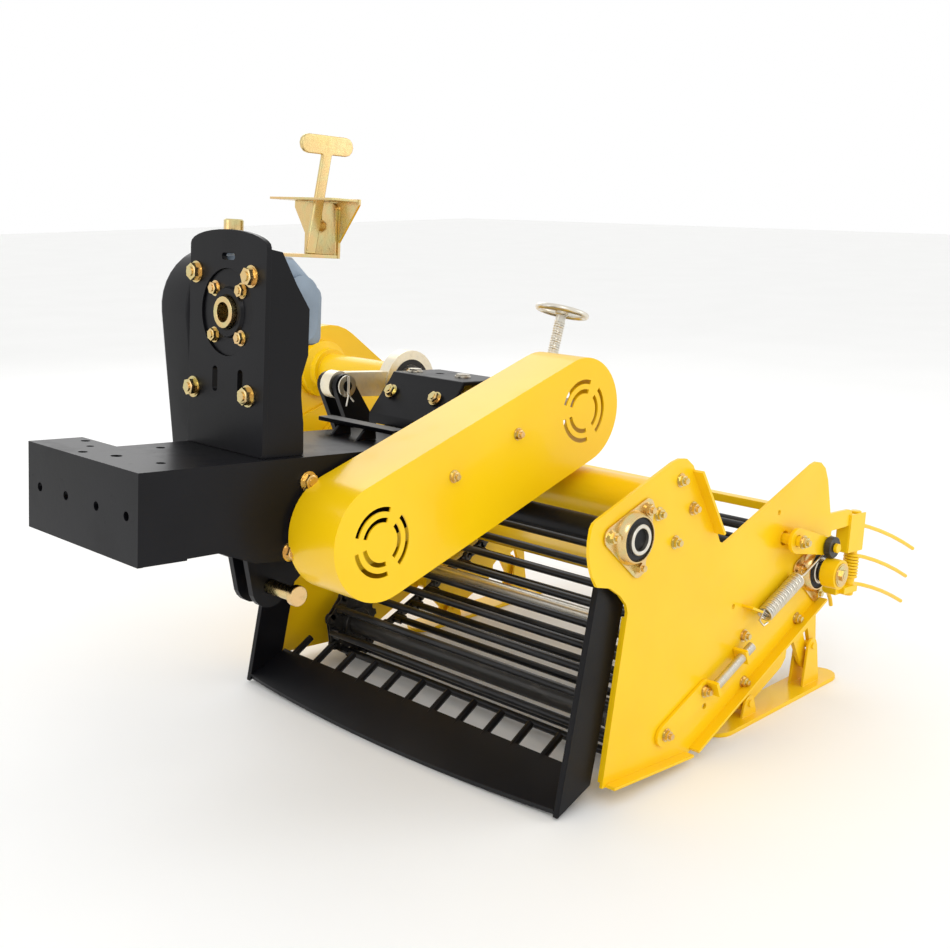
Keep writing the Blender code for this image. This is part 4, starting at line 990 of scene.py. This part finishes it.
class DIGGER_OT_rake(bpy.types.Operator):
    """The shaking rake with its bent tines and coiled posts, its lever, roller and spring"""
    bl_idname = "digger.rake"
    bl_label = "Rake"

    def execute(self, context):
        edge = context.scene.digger_edges.plate
        for node, finish in (("rake_lever", "yellow"), ("rake_roller", "oiled"), ("cam_hub", "yellow")):
            dressed(node, finish, edge)
        whole = join(*self.arms(), *self.comb(context.scene.digger_conveyor.fingers))
        whole.name = "rake_finished"
        settled(whole, "yellow", "rake", 35, "rake_frame")
        self.spring()
        return {"FINISHED"}

    def arms(self):
        """A flat arm at each side, with the pins that the rake swings on."""
        outline = capsule(RAKE_PIVOT, (-0.594, 0.284), 0.015, 0.012, 14)
        pieces = []
        for ends in ((0.293, 0.298), (-0.298, -0.293)):
            pieces.append(softened(prism("arm", "Y", *ends, outline), 0.0008))
        for ends in ((0.295, 0.3355), (-0.3037, -0.295)):
            pieces.append(drum("pin", RAKE_PIVOT, "Y", *ends, 0.007, 24, 0.0008))
        return pieces

    def comb(self, count):
        """Cross bars, posts wound with a coil, and round tines with swept tips."""
        half, post, root = 0.2932, -0.629, -0.633
        pieces = [bar((-0.610, -half, 0.170), (-0.590, half, 0.182)),
                  bar((-0.604, -half, 0.272), (-0.584, half, 0.284))]
        fingers = ((0.270, -0.826, 0.208), (0.224, -0.812, 0.166), (0.182, -0.805, 0.127))
        for side in (1, -1):
            y = side * (half - 0.002)
            pieces += [drum("post", (post, y), "Z", 0.165, 0.290, 0.0078, 24, 0.001),
                       coil("coil", (post, y, 0.192), (post, y, 0.228), "yellow", 8, 0.0095, 0.0020),
                       bar((-0.638, y - 0.010, 0.171), (-0.600, y + 0.010, 0.181)),
                       bar((-0.612, y - 0.0105, 0.232), (-0.598, y + 0.0085, 0.288))]
            for edge in (-0.012, 0.007):
                pieces.append(bar((-0.641, y + edge, 0.2322), (-0.599, y + edge + 0.003, 0.2878), 0.0008))
            for high, end_x, end_z in fingers:
                drop, reach = end_z - high, end_x - root
                bow = [(root + reach * t, y, high + drop * t + 0.020 * t * (1 - t))
                       for t in (0, 0.2, 0.4, 0.6, 0.8, 1)]
                pieces.append(tube("finger", bow, 0.0030, 10))
        bend = ((-0.600, 0.176), (-0.612, 0.170), (-0.624, 0.163), (-0.632, 0.152), (-0.637, 0.141))
        for i in range(count):
            y = (half - 0.030) * (2 * i / (count - 1) - 1)
            pieces.append(tube("tine", [(x, y, z) for x, z in bend], 0.0030, 10))
        return pieces

    def spring(self):
        """The return spring hooked between the plate's lug and the rake's lever."""
        y = PLATE_OUT + 0.012
        low, high = Vector((-0.357, y, 0.188)), Vector((-0.431, y, 0.224))
        wire = coil("rake_spring", low, high, "zinc", 24, 0.0092, 0.0016)
        hook = [low + Vector(step) for step in (
            (0, 0, 0.008), (0.006, 0, 0.002), (0.012, 0, -0.006), (0.006, 0.003, -0.013),
            (-0.002, 0.004, -0.010))]
        arm = [high + Vector(step) for step in (
            (0, 0, 0), (-0.010, 0.004, 0.006), (-0.042, 0.006, 0.024), (-0.071, 0.008, 0.040),
            (-0.078, 0.006, 0.046), (-0.074, 0.002, 0.050))]
        whole = join(wire, tube("hook", hook, 0.0014, 8), tube("arm", arm, 0.0014, 8))
        settled(whole, "zinc", angle=40)
        x, z = -0.334, 0.172
        tab = prism("spring_lug", "Y", PLATE_OUT, PLATE_OUT + 0.016, [
            (x - 0.012, z + 0.020), (x + 0.014, z + 0.030), (x + 0.013, z + 0.033), (x - 0.013, z + 0.023)])
        settled(softened(tab, 0.0006), "yellow", angle=38)


class DIGGER_OT_tensioners(bpy.types.Operator):
    """The slides and draw screws that tighten the conveyor"""
    bl_idname = "digger.tensioners"
    bl_label = "Tensioners"

    def execute(self, context):
        edge = context.scene.digger_edges.plate
        for side, tag in ((1, "left"), (-1, "right")):
            dressed("tensioner_" + tag, "yellow", edge)
            y = side * (PLATE_OUT + 0.012)
            ends = [(x, y, z) for x, z in (along_conveyor(0.100), along_conveyor(0.184))]
            rod = tube("tensioner_screw_" + tag, ends, 0.0056, 16)
            settled(join(rod, coil("thread", *ends, "zinc", 40, 0.0055, 0.0007)), "zinc")
        return {"FINISHED"}


class DIGGER_OT_bolts(bpy.types.Operator):
    """Every bolt and nut, grown on points"""
    bl_idname = "digger.bolts"
    bl_label = "Bolts"

    def execute(self, context):
        self.front()
        self.plates()
        self.bearings()
        self.studs()
        return {"FINISHED"}

    def front(self):
        big = facing("X", 0.2791, 1.0, (
            (-0.0240, 0.591), (0.0740, 0.591), (-0.0265, 0.468), (0.0725, 0.469)))
        small = facing("X", 0.2765, 0.72, [(y, z) for z in (0.5755, 0.5270) for y in (0.0075, 0.0545)])
        side = facing("Y", FRAME_HALF, 0.95, ((0.226, 0.381), (0.247, 0.308)))
        bolts("front_bolts", big + small + side)

    def plates(self):
        flat = ((-0.163, 0.3795), (-0.192, 0.343), (-0.161, 0.306), (-0.124, 0.344), (-0.330, 0.162),
                (-0.458, 0.163), (-0.339, 0.098))
        raised = ((-0.169, 0.068), (-0.245, 0.107))
        for side, tag in ((1, "left"), (-1, "right")):
            places = facing("Y", side * PLATE_OUT, 0.72, flat, side)
            places += facing("Y", side * (PLATE_OUT + 0.0046), 0.72, raised, side)
            bolts("plate_nuts_" + tag, places, Stub_Height=0.0055)

    def bearings(self):
        places = []
        for axis, face, way in BEARINGS.values():
            spots = [polar(axis, FLANGE_BOLTS_R, heading) for heading in FLANGE_HEADINGS]
            places += facing("Y", face + way * FLANGE_THICK, 0.72, spots, way)
        bolts("bearing_nuts", places, Stub_Height=0.0050)

    def studs(self):
        guard = facing("Y", GUARD_FACE, 0.62, ((0.0897, 0.387), (-0.0095, 0.427)))
        bolts("guard_nuts", guard, Stub_Height=0.005)
        for node in ("guard_stud_front", "guard_stud_rear"):
            dressed(node, "gold", 0.0005)
        bolts("bracket_bolts", facing("Z", 0.4709, 0.9, ((-0.069, -0.050), (-0.084, 0.022))), "zinc",
              Head_Height=0.0030, Stub_Height=0.0004, Head_Radius=0.0100)
        bolts("leg_bolts", [((-0.0262, y, 0.4478), (0.836, 0, 0.549), 0.8) for y in (-0.046, 0.034)])
        bolts("rake_pivot_nut", facing("Y", 0.3356, 0.8, [RAKE_PIVOT]), body="rake", Stub_Height=0.005)
        bolts("cam_nut", facing("Y", 0.3521, 0.85, [REAR_AXIS]), Flange_Radius=0.019, Stub_Height=0.001,
              Head_Height=0.0045)


class DIGGER_OT_stage(bpy.types.Operator):
    """The pale floor, the soft lights and the camera"""
    bl_idname = "digger.stage"
    bl_label = "Stage"

    def execute(self, context):
        self.camera(context.scene)
        self.floor()
        self.lights(context.scene)
        return {"FINISHED"}

    def camera(self, scene):
        lens = bpy.data.cameras.new("camera")
        lens.sensor_width, lens.lens = 36.0, 48.88
        lens.clip_start = 0.05
        camera = bpy.data.objects.new("camera", lens)
        ahead = Vector((-0.69463, -0.68269, -0.22677)).normalized()
        right = Vector((-0.70085, 0.71331, 0.0)).normalized()
        up = right.cross(ahead)
        turn = Matrix((right, up, -ahead)).transposed().to_4x4()
        camera.matrix_world = Matrix.Translation(STAND @ Vector((1.0654, 1.1576, 0.6321))) @ turn
        scene.collection.objects.link(camera)
        scene.camera = camera

    def floor(self):
        bm = bmesh.new()
        bmesh.ops.create_grid(bm, x_segments=1, y_segments=1, size=14.0)
        floor = from_bmesh("floor", bm)
        finish = Finish("pale floor", Roughness=0.75, Specular_IOR_Level=0.2)
        tone = finish.mix(finish.noise(3.0, 3.0), colour((0.90, 0.90, 0.89)), colour((0.94, 0.94, 0.93)))
        finish.set("Base Color", tone)
        finish.bump(finish.noise(180.0, 2.0), 0.05, 0.0005)
        floor.data.materials.append(finish.material)

    def lights(self, scene):
        for name, spot, aim, power, size in (
                ("key", (1.6, 2.2, 2.6), (-0.1, 0.1, 0.25), 16, 1.2),
                ("left fill", (-1.9, 1.9, 1.3), (-0.1, 0.1, 0.25), 8, 1.2),
                ("front fill", (2.6, -0.8, 1.2), (0.2, 0.0, 0.3), 6, 1.4),
                ("back", (-1.2, -2.4, 1.9), (0.0, 0.0, 0.3), 12, 1.6)):
            lamp = bpy.data.lights.new(name, "AREA")
            lamp.energy, lamp.size = power, size
            light = bpy.data.objects.new(name, lamp)
            light.location = spot
            light.rotation_euler = (Vector(aim) - Vector(spot)).to_track_quat("-Z", "Y").to_euler()
            scene.collection.objects.link(light)
        world = bpy.data.worlds.new("studio")
        world.use_nodes = True
        world.node_tree.nodes["Background"].inputs["Color"].default_value = (1.0, 1.0, 1.0, 1.0)
        world.node_tree.nodes["Background"].inputs["Strength"].default_value = 1.0
        scene.world = world
        scene.view_settings.view_transform = "Standard"


class DIGGER_PT_pieces(bpy.types.Panel):
    """The digger's sizes, colours and pieces"""
    bl_idname = "DIGGER_PT_pieces"
    bl_label = "Digger"
    bl_space_type = "VIEW_3D"
    bl_region_type = "UI"
    bl_category = "Digger"

    def draw(self, context):
        layout = self.layout
        for group in (context.scene.digger_paint, context.scene.digger_edges, context.scene.digger_conveyor):
            for name in group.__annotations__:
                layout.prop(group, name)
        for operator in OPERATORS:
            layout.operator(operator.bl_idname)


GROUPS = {"digger_paint": DiggerPaint, "digger_edges": DiggerEdges, "digger_conveyor": DiggerConveyor}
OPERATORS = (DIGGER_OT_stage, DIGGER_OT_share, DIGGER_OT_plates, DIGGER_OT_frame, DIGGER_OT_covers,
             DIGGER_OT_bearings, DIGGER_OT_conveyor, DIGGER_OT_gearbox, DIGGER_OT_controls, DIGGER_OT_rod,
             DIGGER_OT_rake, DIGGER_OT_tensioners, DIGGER_OT_bolts)


def register():
    for item in (*GROUPS.values(), *OPERATORS, DIGGER_PT_pieces):
        bpy.utils.register_class(item)
    for name, group in GROUPS.items():
        setattr(bpy.types.Scene, name, PointerProperty(type=group))


def unregister():
    for name in GROUPS:
        delattr(bpy.types.Scene, name)
    for item in reversed((*GROUPS.values(), *OPERATORS, DIGGER_PT_pieces)):
        bpy.utils.unregister_class(item)


def main():
    register()
    for operator in OPERATORS:
        group, name = operator.bl_idname.split(".")
        getattr(getattr(bpy.ops, group), name)()


if __name__ == "__main__":
    main()
